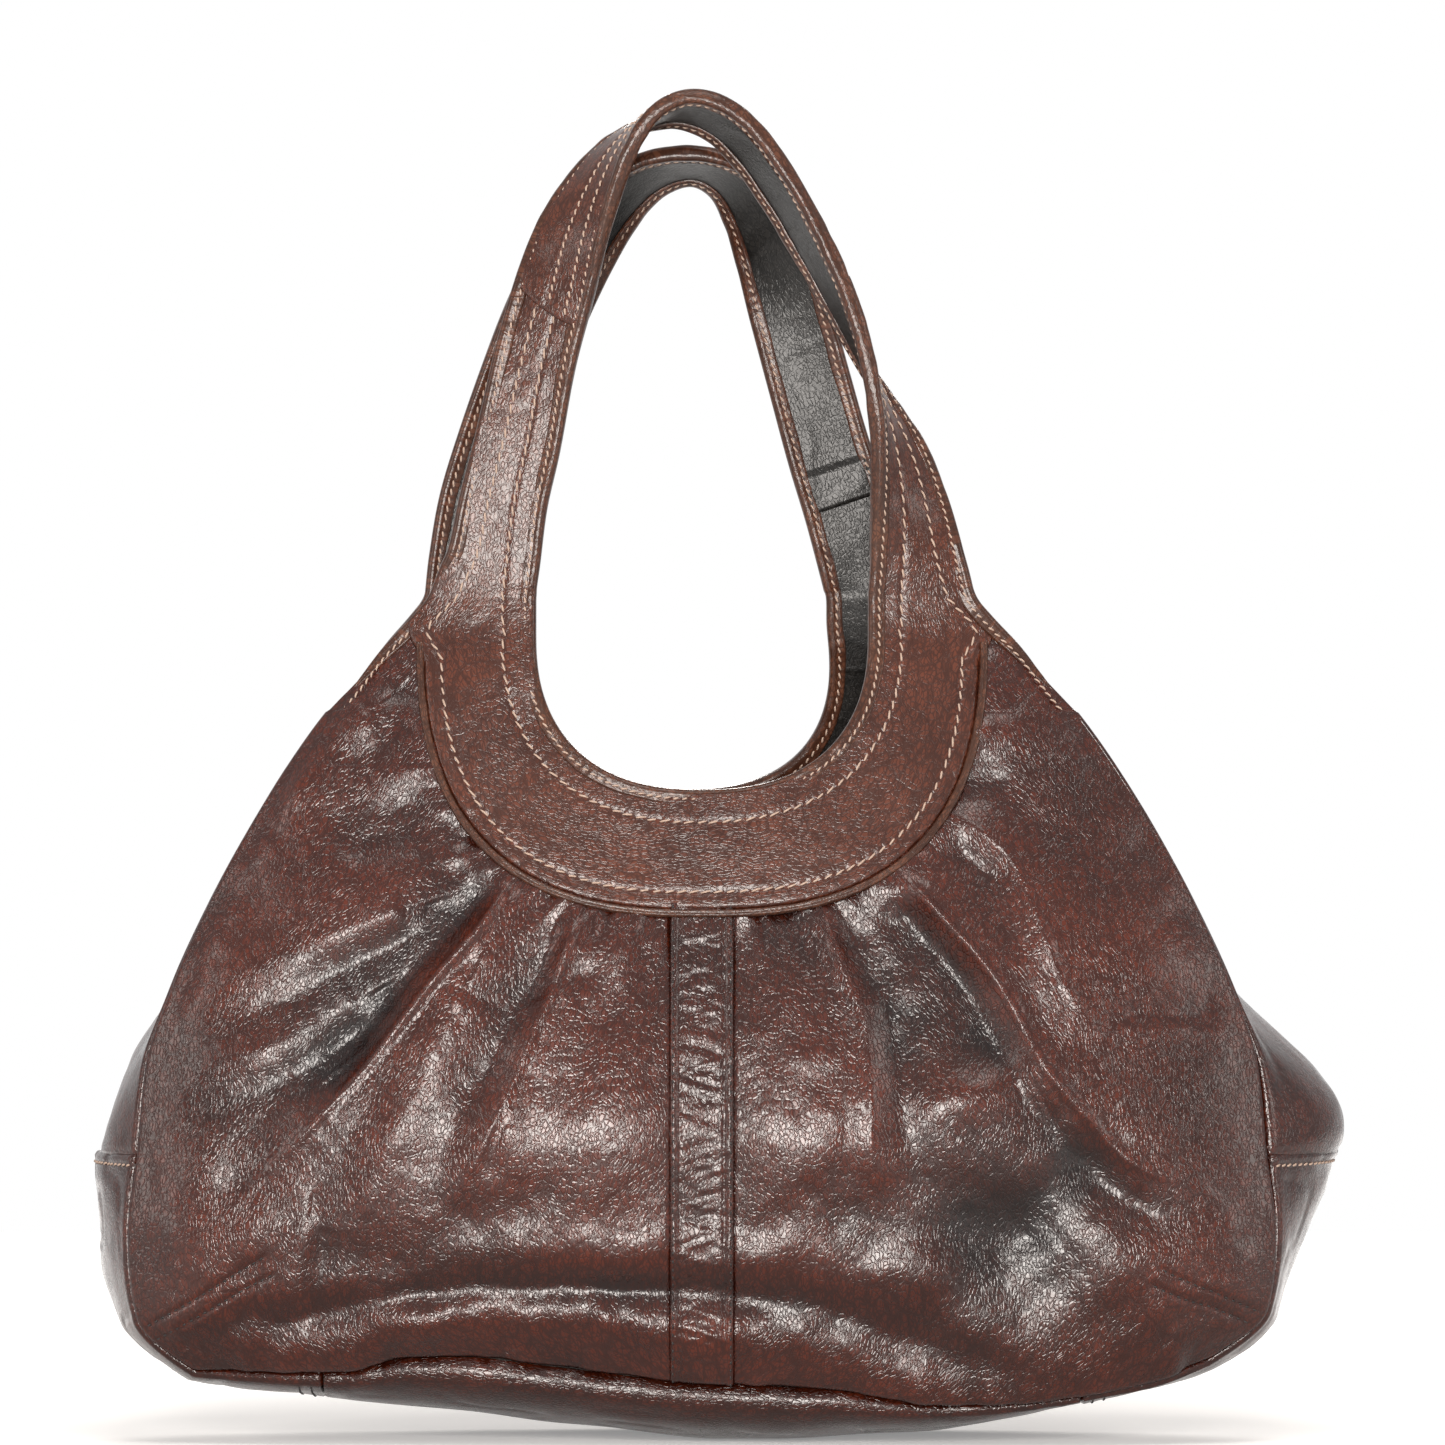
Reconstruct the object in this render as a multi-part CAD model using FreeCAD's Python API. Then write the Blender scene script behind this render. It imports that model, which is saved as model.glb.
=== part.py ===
"""Pleated leather hobo bag with two shoulder straps.

A soft bag sewn from leather sheets over a fabric lining. The front and the back are alike: two body
panels either side of a narrow strip, gathered under a U-shaped yoke whose two arms run up into a strap.
A band of four gusset pieces and a base panel joins front to back. Every raw edge is bound. Inside are a
base board, two slip pockets, a zip pocket and a pair of tabs with a magnetic snap.

Frame: millimetres, +Z up, the front faces -Y, and the origin is on the floor under the middle of the bag.
A sheet of the bag is a loft of thin sections taken at heights. Across the bag each section follows
depth = middle - (middle - seam) * (x / half width)^4, which is a Bezier curve of degree four.
"""

import FreeCAD, Part
import math
import os
from collections import namedtuple

from FreeCAD import Vector

# Sides of the bag, as the sign of Y
FRONT, REAR = -1, 1

# Sheet thicknesses and the small clearances between sewn layers
leather_thickness = 1.6
facing_thickness = 1.2
lining_thickness = 0.6
layer_gap = 0.3
seam_gap = 0.15

# Heights of the body's seams
floor_height = 0.0
base_seam_height = 21.0
gusset_seam_height = 97.0
gusset_top_height = 243.0
shoulder_height = 272.0
hinge_height = 281.0
hinge_gap = 1.6

# The body's shape: each station gives half the width between the side seams, half the depth at those
# seams and in the middle, and how far the gusset bulges out past them (folded in where negative).
Station = namedtuple("Station", "height half_width seam_depth middle_depth bulge")
floor_half_width, floor_seam_depth, floor_middle_depth = 100.0, 31.0, 38.0
belly_half_width, belly_seam_depth, belly_middle_depth = 191.0, 43.0, 64.0
gusset_bulge = 20.5
shoulder_half_width, shoulder_seam_depth, shoulder_middle_depth = 99.0, 16.0, 23.0
STATIONS = [
    Station(floor_height, floor_half_width, floor_seam_depth, floor_middle_depth, 3.0),
    Station(6.0, 131.0, 38.0, 46.0, 3.0),
    Station(base_seam_height, 168.0, 43.0, 56.0, 4.0),
    Station(40.0, 188.0, 44.0, 61.0, 5.0),
    Station(70.0, belly_half_width, belly_seam_depth, belly_middle_depth, 12.0),
    Station(gusset_seam_height, 188.0, 41.0, belly_middle_depth, gusset_bulge),
    Station(125.0, 185.5, 37.0, 60.0, 12.0),
    Station(150.0, 177.5, 33.0, 54.0, 0.0),
    Station(180.0, 164.5, 28.0, 46.0, -7.0),
    Station(212.0, 147.0, 23.0, 37.0, -9.0),
    Station(gusset_top_height, 126.0, 18.5, 29.5, -8.0),
    Station(shoulder_height, shoulder_half_width, shoulder_seam_depth, shoulder_middle_depth, -6.0),
    Station(295.0, shoulder_half_width, 15.5, 20.0, -6.0),
]
shoulder_low_half_width, shoulder_upper_half_width = 117.5, 108.5
section_spacing = 12.0

# The soft rear yoke is drawn in and sits a little to the left of the front one, more so with height
rear_shift, rear_squeeze = -9.3, 0.075
rear_start_height = 150.0

# Yoke and rim: rounded U outlines, as superellipses that open upwards
yoke_half_width, yoke_top, yoke_bottom, yoke_roundness = 94.0, 270.0, 176.0, 2.6
rim_half_width, rim_top, rim_bottom, rim_roundness = 55.3, 269.0, 216.7, 2.4
piping_radius, piping_groove, piping_proud = 1.5, 1.7, 0.3
piping_sides = 10
strip_half_width = 10.7
strip_rise = 0.6

# The main pleats of the panels: the route of each ridge as (x, z) points, its height and its half width. They fade out
# towards the seams. The rear's are the front's seen in a mirror.
Pleat = namedtuple("Pleat", "height half_width route")
PLEATS = [
    Pleat(6.0, 8.0, [(-64.0, 187.0), (-88.0, 155.0), (-115.0, 122.0), (-136.0, 95.0), (-156.0, 78.0)]),
    Pleat(5.5, 7.0, [(-40.0, 180.0), (-51.0, 147.0), (-67.0, 111.0), (-88.0, 76.0)]),
    Pleat(3.0, 9.0, [(-82.0, 148.0), (-100.0, 120.0), (-128.0, 76.0)]),
    Pleat(3.0, 22.0, [(-38.0, 122.0), (-40.0, 90.0)]),
    Pleat(5.0, 7.0, [(40.0, 178.0), (54.0, 141.0), (57.0, 96.0), (58.0, 76.0)]),
    Pleat(6.0, 8.0, [(67.0, 186.0), (92.0, 160.0), (108.0, 134.0), (129.0, 104.0), (159.0, 85.0), (186.0, 77.0)]),
    Pleat(4.0, 8.0, [(84.0, 208.0), (105.0, 181.0), (118.0, 142.0), (139.0, 118.0)]),
    Pleat(4.0, 9.0, [(-150.0, 29.0), (-90.0, 37.0), (0.0, 39.0), (90.0, 36.0), (150.0, 31.0)]),
    Pleat(3.0, 8.0, [(-130.0, 54.0), (-60.0, 63.0), (60.0, 62.0), (140.0, 58.0)]),
]
pleat_yoke_fade, pleat_side_fade, pleat_base_fade = 16.0, 12.0, 8.0
pleat_points = 60

# Bindings: a folded strip of leather, a C in section, round the edge of the sandwich of layers
binding_width = 4.8
binding_web = 1.0
binding_wall = 0.9
binding_slack = 0.4
sandwich = leather_thickness + layer_gap + facing_thickness
edge_trim = binding_web + 0.3
facing_setback = 0.8
pared_edge = 0.2

# Base
base_half_length = 125.0
board_length, board_width, board_thickness, board_corner = 190.0, 58.0, 2.2, 12.0

# Straps: x, z, width and face angle by station, between the two ends that meet the yoke's arms. The face angle is 0 where the strap's outer face looks
# straight out of the bag and 90 where it looks up and away from the loop.
StrapStation = namedtuple("StrapStation", "x z width face_angle")
strap_arm_width, strap_width = 35.7, 28.0
strap_lean = 3.5
lap_height = 378.0
FRONT_STRAP = [
    StrapStation(-69.9, 292.0, 31.7, 0),
    StrapStation(-66.2, 313.0, 29.6, 3),
    StrapStation(-61.6, 332.0, 29.0, 6),
    StrapStation(-55.8, 360.0, strap_width, 10),
    StrapStation(-49.8, 382.0, strap_width, 16),
    StrapStation(-43.5, 402.0, strap_width, 33),
    StrapStation(-36.0, 418.0, strap_width, 52),
    StrapStation(-27.0, 431.5, strap_width, 72),
    StrapStation(-15.0, 441.5, strap_width, 95),
    StrapStation(-3.0, 443.5, strap_width, 110),
    StrapStation(10.0, 437.0, strap_width, 115),
    StrapStation(23.0, 421.0, strap_width, 115),
    StrapStation(36.0, 399.0, strap_width, 112),
    StrapStation(47.0, 377.0, strap_width, 105),
    StrapStation(55.0, 358.0, strap_width, 92),
    StrapStation(61.0, 343.0, strap_width, 74),
    StrapStation(65.5, 330.0, 28.5, 55),
    StrapStation(69.0, 313.0, 29.6, 33),
    StrapStation(71.5, 295.0, 31.7, 10),
]
REAR_STRAP = [
    StrapStation(-76.9, 292.0, 31.0, 0),
    StrapStation(-74.2, 312.0, 29.6, 0),
    StrapStation(-68.5, 332.0, 29.0, 2),
    StrapStation(-61.0, 355.0, strap_width, 5),
    StrapStation(-52.5, 377.0, strap_width, 12),
    StrapStation(-43.0, 396.0, strap_width, 25),
    StrapStation(-32.0, 411.5, strap_width, 44),
    StrapStation(-19.0, 422.5, strap_width, 62),
    StrapStation(-4.0, 426.5, strap_width, 72),
    StrapStation(8.5, 422.0, strap_width, 62),
    StrapStation(18.0, 410.5, strap_width, 43),
    StrapStation(24.5, 395.5, strap_width, 24),
    StrapStation(29.5, 378.0, strap_width, 10),
    StrapStation(36.0, 354.0, strap_width, 3),
    StrapStation(42.7, 330.0, 28.5, 0),
    StrapStation(49.0, 311.0, 29.6, 0),
    StrapStation(54.0, 295.0, 31.0, 0),
]
strap_sections = 34

# Snap tabs
tab_width, tab_thickness, tab_past_snap = 30.0, 2.6, 11.0
upper_tab_height = 204.0
snap_radius, snap_thickness, snap_post_radius, snap_post_length = 9.0, 2.0, 2.5, 1.7
snap_hole_radius = 3.0
snap_clearance = 0.3

# Slip pockets on the front lining: width, bottom, mouth and how far the mouth stands open
pocket_width, pocket_bottom, pocket_mouth, pocket_gape = 84.0, 45.0, 118.0, 12.0
pocket_inner_edge = 8.0
pocket_wall = 0.8

# Zip pocket on the rear lining
zip_length, zip_height, tape_width = 148.0, 144.0, 5.0
tooth_pitch, tooth_width, tooth_depth, tooth_reach, tooth_rise = 3.0, 1.3, 2.4, 1.0, 1.4
zip_pocket_width, zip_pocket_depth, zip_pocket_thickness = 170.0, 95.0, 0.8
pouch_margin = 8.0
slider_length, slider_width, slider_plate, slider_clearance = 11.0, 8.4, 1.2, 0.45
slider_start = 60.0
bail_length, bail_height, bail_bar = 7.6, 3.6, 1.2
pull_length, pull_width, pull_thickness, pull_hole_radius = 24.0, 6.4, 1.4, 1.4

OUTPUT_FOLDER = "parts"


def interpolate(knots, at):
    """Monotone cubic through (position, value) knots, held at the end values outside them."""
    if at <= knots[0][0]:
        return knots[0][1]
    if at >= knots[-1][0]:
        return knots[-1][1]
    steps = [(b[0] - a[0], (b[1] - a[1]) / (b[0] - a[0])) for a, b in zip(knots, knots[1:])]
    index = max(i for i, knot in enumerate(knots[:-1]) if knot[0] <= at)

    def slope(i):
        if i == 0 or i == len(knots) - 1:
            return steps[0][1] if i == 0 else steps[-1][1]
        (h0, s0), (h1, s1) = steps[i - 1], steps[i]
        if s0 * s1 <= 0:
            return 0.0
        return (h0 + h1) / (h1 / s0 + h0 / s1) if h0 + h1 else 0.0

    h, _ = steps[index]
    t = (at - knots[index][0]) / h
    low, high = knots[index][1], knots[index + 1][1]
    return (
        low * (2 * t**3 - 3 * t**2 + 1)
        + high * (3 * t**2 - 2 * t**3)
        + slope(index) * h * (t**3 - 2 * t**2 + t)
        + slope(index + 1) * h * (t**3 - t**2)
    )


def body(field, z):
    """One of the body's sizes at height z."""
    return interpolate([(s.height, getattr(s, field)) for s in STATIONS], z)


def place_x(side, x, z):
    """Where x, measured along the side's own width, lies in the part's frame at height z."""
    if side == FRONT:
        return x
    share = interpolate([(rear_start_height, 0.0), (shoulder_height, 1.0)], z)
    return x * (1 - rear_squeeze * share) + rear_shift * share


def depth(x, z):
    """Half the outer depth of the bag at x from the centre line and height z."""
    seam, middle = body("seam_depth", z), body("middle_depth", z)
    return middle - (middle - seam) * (x / body("half_width", z)) ** 4


def on_sheet(side, x, z, inset=0.0):
    """A point of the front or rear sheet, inset from its outer face."""
    return Vector(place_x(side, x, z), side * (depth(x, z) - inset), z)


def heights(low, high):
    """Section heights from low to high, on a grid that all sheets share so that they nest."""
    grid = [i * section_spacing for i in range(math.ceil(high / section_spacing))]
    return [low, *(z for z in grid if low + 2 < z < high - 2), high]


def bezier(points):
    curve = Part.BezierCurve()
    curve.setPoles(points)
    return curve.toShape()


def across(side, z, inset, trim):
    """The degree-four curve across the bag at height z, and its two ends."""
    half = body("half_width", z)
    seam, middle = body("seam_depth", z), body("middle_depth", z)
    end = half - trim
    rise = (middle - seam) * (end / half) ** 4
    edge, crown = middle - rise - inset, middle + rise - inset
    shares = ((-1.0, edge), (-0.5, crown), (0.0, edge), (0.5, crown), (1.0, edge))
    poles = [Vector(place_x(side, share * end, z), side * y, z) for share, y in shares]
    return bezier(poles), poles[0], poles[-1]


def nearness(route, x, z):
    """The distance of (x, z) from a route of points."""
    nearest = math.inf
    for (ax, az), (bx, bz) in zip(route, route[1:]):
        run, rise = bx - ax, bz - az
        share = max(0.0, min(1.0, ((x - ax) * run + (z - az) * rise) / (run * run + rise * rise)))
        nearest = min(nearest, math.hypot(x - ax - share * run, z - az - share * rise))
    return nearest


def fade(distance, reach):
    share = max(0.0, min(1.0, distance / reach))
    return share * share * (3 - 2 * share)


def pleat_height(side, x, z):
    """How far the pleats stand out of the sheet at x and z."""
    mirrored = x if side == FRONT else -x
    height = sum(p.height * math.exp(-((nearness(p.route, mirrored, z) / p.half_width) ** 2)) for p in PLEATS)
    if math.hypot(x, max(0.0, yoke_top - z)) < yoke_half_width / 2:
        return 0.0
    height *= fade(yoke_distance(x, z), pleat_yoke_fade)
    height *= fade(body("half_width", z) - abs(x), pleat_side_fade)
    return height * fade(z - base_seam_height, pleat_base_fade)


def yoke_distance(x, z):
    """About how far (x, z) lies outside the yoke's outline, and 0 inside it."""
    drop = max(0.0, yoke_top - z)
    share = (abs(x) / yoke_half_width) ** yoke_roundness + (drop / (yoke_top - yoke_bottom)) ** yoke_roundness
    radius = math.hypot(x, drop)
    return max(0.0, radius - radius / share ** (1 / yoke_roundness)) if share > 0 else 0.0


def pleated_across(side, z, inset, trim):
    """The curve across the outer face at height z with the pleats standing out of it, and its two ends."""
    end = body("half_width", z) - trim
    shares = [2 * i / pleat_points - 1 for i in range(pleat_points + 1)]
    points = [on_sheet(side, share * end, z, inset - pleat_height(side, share * end, z)) for share in shares]
    curve = Part.BSplineCurve()
    curve.interpolate(Points=points, Parameters=shares)
    return curve.toShape(), points[0], points[-1]


def sheet(side, low, high, inset, thickness, trim=seam_gap, pleated=False):
    """A whole front or rear layer between two heights."""
    wires = []
    for z in heights(low, high):
        outer_curve = pleated_across if pleated else across
        outer, outer_left, outer_right = outer_curve(side, z, inset, trim)
        inner, inner_left, inner_right = across(side, z, inset + thickness, trim)
        right = Part.LineSegment(outer_right, inner_right).toShape()
        left = Part.LineSegment(inner_left, outer_left).toShape()
        wires.append(Part.Wire([outer, right, inner, left]))
    return Part.makeLoft(wires, True, False)


def gusset_curve(hand, z, inset, trim):
    """The side's curve from the front seam to the rear one at height z."""
    seam = body("seam_depth", z)
    end, bulge = seam - trim, body("bulge", z)
    share = (end / seam) ** 2
    half = body("half_width", z) - inset + bulge * (1 - share)
    front = Vector(place_x(FRONT, hand * half, z), -end, z)
    rear = Vector(place_x(REAR, hand * half, z), end, z)
    middle = (front + rear) * 0.5 + Vector(2 * hand * bulge * share, 0, 0)
    return bezier([front, middle, rear]), front, rear


def gusset(hand, low, high, inset, thickness, trim):
    """A layer of the left (hand -1) or right (hand 1) side between two heights."""
    wires = []
    for z in heights(low, high):
        outer, outer_front, outer_rear = gusset_curve(hand, z, inset, trim)
        inner, inner_front, inner_rear = gusset_curve(hand, z, inset + thickness, trim)
        rear = Part.LineSegment(outer_rear, inner_rear).toShape()
        front = Part.LineSegment(inner_front, outer_front).toShape()
        wires.append(Part.Wire([outer, rear, inner, front]))
    return Part.makeLoft(wires, True, False)


def ring(z, inset):
    """The whole outline of the bag at height z."""
    front, front_left, front_right = across(FRONT, z, inset, inset)
    rear, rear_left, rear_right = across(REAR, z, inset, inset)
    bulge = Vector(2 * body("bulge", z), 0, 0)
    right = bezier([front_right, (front_right + rear_right) * 0.5 + bulge, rear_right])
    left = bezier([rear_left, (front_left + rear_left) * 0.5 - bulge, front_left])
    return Part.Wire([front, right, rear, left])


def tray(inset, low):
    """Everything inside the base's sheet from low up to the base seam, for an inset."""
    levels = [low, low + 2.5, 6.0 + low, 12.0 + low, base_seam_height]
    return Part.makeLoft([ring(z, inset) for z in levels], True, False)


def superellipse(half_width, top, bottom, roundness, grow, count=25):
    """Points of a U from its left top to its right top, grown outwards by grow."""
    across_half, drop = half_width + grow, top - bottom + grow
    points = []
    for i in range(count):
        angle = math.pi * i / (count - 1)
        cosine, sine = math.cos(angle), math.sin(angle)
        x = -math.copysign(abs(cosine) ** (2 / roundness), cosine) * across_half
        points.append((x, top - abs(sine) ** (2 / roundness) * drop))
    return points


def yoke_outline(grow):
    return superellipse(yoke_half_width, yoke_top, yoke_bottom, yoke_roundness, grow)


def rim_outline(grow):
    return superellipse(rim_half_width, rim_top, rim_bottom, rim_roundness, grow)


def spline(points):
    curve = Part.BSplineCurve()
    curve.interpolate(points)
    return curve.toShape()


def prism(side, outline, top):
    """The space over one half of the bag inside a U outline and below top, right through Y."""
    placed = [Vector(place_x(side, x, z), 0, z) for x, z in outline]
    left = Vector(place_x(side, outline[0][0], top), 0, top)
    right = Vector(place_x(side, outline[-1][0], top), 0, top)
    edges = [
        Part.LineSegment(left, placed[0]).toShape(),
        spline(placed),
        Part.LineSegment(placed[-1], right).toShape(),
        Part.LineSegment(right, left).toShape(),
    ]
    reach = 2 * belly_middle_depth
    return Part.Face(Part.Wire(edges)).extrude(Vector(0, side * reach, 0))


def block(x_low, x_high, y_low, y_high, z_low, z_high):
    corner = Vector(x_low, y_low, z_low)
    return Part.makeBox(x_high - x_low, y_high - y_low, z_high - z_low, corner)


def column(side, x_low, x_high, z_low, z_high):
    """A block over one half of the bag, for cutting a window or a panel out of a sheet."""
    reach = side * 2 * belly_middle_depth
    return block(x_low, x_high, min(0, reach), max(0, reach), z_low, z_high)


def directions(points):
    """The direction of travel at each point."""
    last = len(points) - 1
    return [(points[min(i + 1, last)] - points[max(i - 1, 0)]).normalize() for i in range(last + 1)]


def bar(points, normals, tangents, profile):
    """A loft of a polygon profile along points. The profile's u runs across, its v along the normals."""
    wires = []
    for i, (point, normal, tangent) in enumerate(zip(points, normals, tangents)):
        v_axis = (normal - tangent * normal.dot(tangent)).normalize()
        u_axis = tangent.cross(v_axis)
        shape = profile(i) if callable(profile) else profile
        corners = [point + u_axis * u + v_axis * v for u, v in shape]
        wires.append(Part.makePolygon(corners + corners[:1]))
    return Part.makeLoft(wires, True, False)


def c_profile(edge, turn, bound):
    """A binding's C round layers bound thick. Its web is at u = edge and its mouth opens towards turn."""
    inner = bound / 2 + binding_slack
    outer = inner + binding_wall
    mouth, web = edge + turn * binding_width, edge + turn * binding_web
    return [
        (edge, -outer),
        (mouth, -outer),
        (mouth, -inner),
        (web, -inner),
        (web, inner),
        (mouth, inner),
        (mouth, outer),
        (edge, outer),
    ]


def outward(side, x, z):
    """The outer face's normal on the front or rear sheet."""
    step = 1.0
    along_x = on_sheet(side, x + step, z) - on_sheet(side, x - step, z)
    along_z = on_sheet(side, x, z + step) - on_sheet(side, x, z - step)
    normal = along_x.cross(along_z).normalize()
    return normal if normal.y * side > 0 else normal * -1


def edge_bar(side, route, profile):
    """A bar along (x, z) points of a sheet, on the middle of its layers."""
    points = [on_sheet(side, x, z, sandwich / 2) for x, z in route]
    normals = [outward(side, x, z) for x, z in route]
    return bar(points, normals, directions(points), profile)


def shoulder_edge(z):
    """Half the width across the bound shoulders at height z, above the gusset."""
    arm = rim_half_width + strap_arm_width
    rise = shoulder_height - gusset_top_height
    return interpolate(
        [
            (gusset_top_height, body("half_width", gusset_top_height)),
            (gusset_top_height + 0.31 * rise, shoulder_low_half_width),
            (gusset_top_height + 0.655 * rise, shoulder_upper_half_width),
            (shoulder_height, shoulder_half_width),
            (hinge_height, arm),
        ],
        z,
    )


def shoulder_waste(side, hand, trim):
    """What lies outside a line trim inside a shoulder's bound edge, to cut from the sheets."""
    top = hinge_height
    levels = [gusset_top_height + (top - gusset_top_height) * i / 6 for i in range(7)]
    cut = [Vector(place_x(side, hand * (shoulder_edge(z) - trim), z), 0, z) for z in levels]
    far = hand * 2 * belly_half_width
    corners = [Vector(far, 0, top), Vector(far, 0, gusset_top_height)]
    edges = [
        spline(cut),
        Part.LineSegment(cut[-1], corners[0]).toShape(),
        Part.LineSegment(corners[0], corners[1]).toShape(),
        Part.LineSegment(corners[1], cut[0]).toShape(),
    ]
    reach = side * 2 * belly_middle_depth
    return Part.Face(Part.Wire(edges)).extrude(Vector(0, reach, 0))


def save(name, shape):
    """Writes a node's solids to its STEP file."""
    solids = shape.Solids
    if not solids or not all(solid.isValid() and solid.Volume > 0 for solid in solids):
        raise ValueError(name + " isn't made of valid solids")
    node = solids[0] if len(solids) == 1 else Part.makeCompound(solids)
    node.exportStep(os.path.join(OUTPUT_FOLDER, name + ".step"))


def make_panels(side, word):
    """The two body panels, the strip between them, the yoke and its piping."""
    start = base_seam_height + seam_gap
    whole = sheet(side, start, arm_top, 0.0, leather_thickness)
    below = sheet(side, start, arm_top, 0.0, leather_thickness, pleated=True)
    for hand in (-1, 1):
        whole = whole.cut(shoulder_waste(side, hand, edge_trim))
        below = below.cut(shoulder_waste(side, hand, edge_trim))
    above_yoke = prism(side, yoke_outline(piping_groove), hinge_height)
    below = below.cut(above_yoke)
    far = 2 * belly_half_width
    gap = strip_half_width + seam_gap
    for hand, label in ((-1, "left"), (1, "right")):
        half = column(side, min(hand * gap, hand * far), max(hand * gap, hand * far), 0, hinge_height)
        save(word + "_panel_" + label, below.common(half))
    thick = leather_thickness + strip_rise
    proud = sheet(side, start, gusset_top_height, -strip_rise, thick, pleated=True)
    middle = column(side, -strip_half_width, strip_half_width, 0, gusset_top_height)
    save(word + "_strip", proud.common(middle).cut(above_yoke))
    yoke = whole.common(prism(side, yoke_outline(-piping_groove), hinge_height))
    mouth = prism(side, rim_outline(edge_trim), hinge_height + 1)
    save(word + "_yoke", yoke.cut(mouth))
    save(word + "_piping", make_piping(side))


def make_piping(side):
    """The cord covered in leather that edges the yoke."""
    route = yoke_outline(0.0)[1:-1]
    points = [on_sheet(side, x, z, -piping_proud) for x, z in route]
    normals = [outward(side, x, z) for x, z in route]
    turns = [math.radians(360.0 * i / piping_sides) for i in range(piping_sides)]
    circle = [(piping_radius * math.cos(turn), piping_radius * math.sin(turn)) for turn in turns]
    return bar(points, normals, directions(points), circle)


def make_facing(side, word):
    """The leather behind the yoke, on the inside of the mouth."""
    inset = leather_thickness + layer_gap
    whole = sheet(side, yoke_bottom - 2 * piping_groove, arm_top, inset, facing_thickness, inset)
    facing = whole.common(prism(side, yoke_outline(piping_groove), hinge_height))
    for hand in (-1, 1):
        facing = facing.cut(shoulder_waste(side, hand, edge_trim + facing_setback))
    save(word + "_facing", facing.cut(prism(side, rim_outline(edge_trim), hinge_height + 1)))


def make_bindings(side, word):
    """The binding of the U-shaped rim and those of the two shoulders."""
    top = arm_top
    route = [(-rim_half_width, top), *rim_outline(0.0), (rim_half_width, top)]
    turn = 1 if side == FRONT else -1
    save(word + "_rim_binding", edge_bar(side, route, c_profile(0.0, turn, sandwich)))
    start = gusset_top_height + 4.0
    levels = [start + (top - start) * i / 8 for i in range(9)]
    for hand, label in ((-1, "left"), (1, "right")):
        rising = [(hand * shoulder_edge(z), z) for z in levels]
        profile = c_profile(0.0, turn * hand * -1, sandwich)
        save(word + "_shoulder_binding_" + label, edge_bar(side, rising, profile))


def make_band():
    """The gusset pieces, the bindings on their top edges, and the base."""
    skin = tray(0.0, floor_height).cut(tray(leather_thickness, leather_thickness))
    far = 2 * belly_half_width
    middle = block(-base_half_length, base_half_length, -far, far, -1, base_seam_height)
    save("base_panel", skin.common(middle))
    for hand, label in ((-1, "left"), (1, "right")):
        near = hand * (base_half_length + seam_gap)
        end = block(min(near, hand * far), max(near, hand * far), -far, far, -1, base_seam_height)
        trim = leather_thickness + seam_gap
        pared = leather_thickness - 2 * pared_edge
        rising = gusset(hand, base_seam_height, gusset_seam_height, pared_edge, pared, trim)
        save("gusset_lower_" + label, skin.common(end).fuse(rising))
        upper_start, upper_end = gusset_seam_height + seam_gap, gusset_top_height - edge_trim
        upper = gusset(hand, upper_start, upper_end, 0.0, leather_thickness, trim)
        save("gusset_upper_" + label, upper)
        save("gusset_binding_" + label, gusset_binding(hand))
    board = block(
        -board_length / 2,
        board_length / 2,
        -board_width / 2,
        board_width / 2,
        leather_thickness + layer_gap,
        leather_thickness + layer_gap + board_thickness,
    )
    upright = [e for e in board.Edges if abs(e.tangentAt(0).z) > 0.9]
    save("base_board", board.makeFillet(board_corner, upright))


def gusset_binding(hand):
    """The C-shaped binding over the gusset's top edge, between the shoulders."""
    middle, trim = leather_thickness / 2, lining_face + layer_gap
    edge = gusset_curve(hand, gusset_top_height, middle, trim)[0].discretize(7)
    below = gusset_curve(hand, gusset_top_height - binding_width, middle, trim)[0].discretize(7)
    ahead = directions(edge)
    outward_faces = [t.cross(top - low).normalize() for t, top, low in zip(ahead, edge, below)]
    return bar(edge, outward_faces, ahead, c_profile(0.0, 1, leather_thickness))


arm_top = hinge_height - hinge_gap / 2
strap_start_depth = depth(rim_half_width + strap_arm_width / 2, hinge_height) - sandwich / 2
# A strap folds forwards about a line just in front of the bound arms
hinge_depth = depth(rim_half_width, hinge_height) + binding_slack + binding_wall + layer_gap
lining_inset = sandwich + layer_gap
lining_face = lining_inset + lining_thickness
lining_floor = leather_thickness + 2 * layer_gap + board_thickness
lining_wall_start = lining_floor + lining_thickness + 1.0


def make_lining():
    """The fabric inside, sewn from a front, a rear, two sides and a floor."""
    edge = lining_inset + 0.6
    half = zip_length / 2
    zip_slot = column(REAR, -half, half, zip_height - tape_width, zip_height + tape_width)
    for side, word in ((FRONT, "front"), (REAR, "rear")):
        cloth = sheet(side, base_seam_height, gusset_top_height, lining_inset, lining_thickness, edge)
        cloth = cloth.cut(prism(side, yoke_outline(-6.0), hinge_height))
        for hand in (-1, 1):
            cloth = cloth.cut(shoulder_waste(side, hand, edge_trim))
        save("lining_" + word, cloth.cut(zip_slot) if side == REAR else cloth)
    for hand, label in ((-1, "left"), (1, "right")):
        low, high = base_seam_height, gusset_top_height - binding_width - 1.0
        cloth = gusset(hand, low, high, lining_inset, lining_thickness, lining_face + 0.2)
        save("lining_side_" + label, cloth)
    cup = tray(lining_inset, lining_floor).cut(tray(lining_face, lining_floor + lining_thickness))
    far = 2 * belly_half_width
    top = block(-far, far, -far, far, base_seam_height - 0.2, gusset_top_height)
    save("lining_floor", cup.cut(top))


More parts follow.
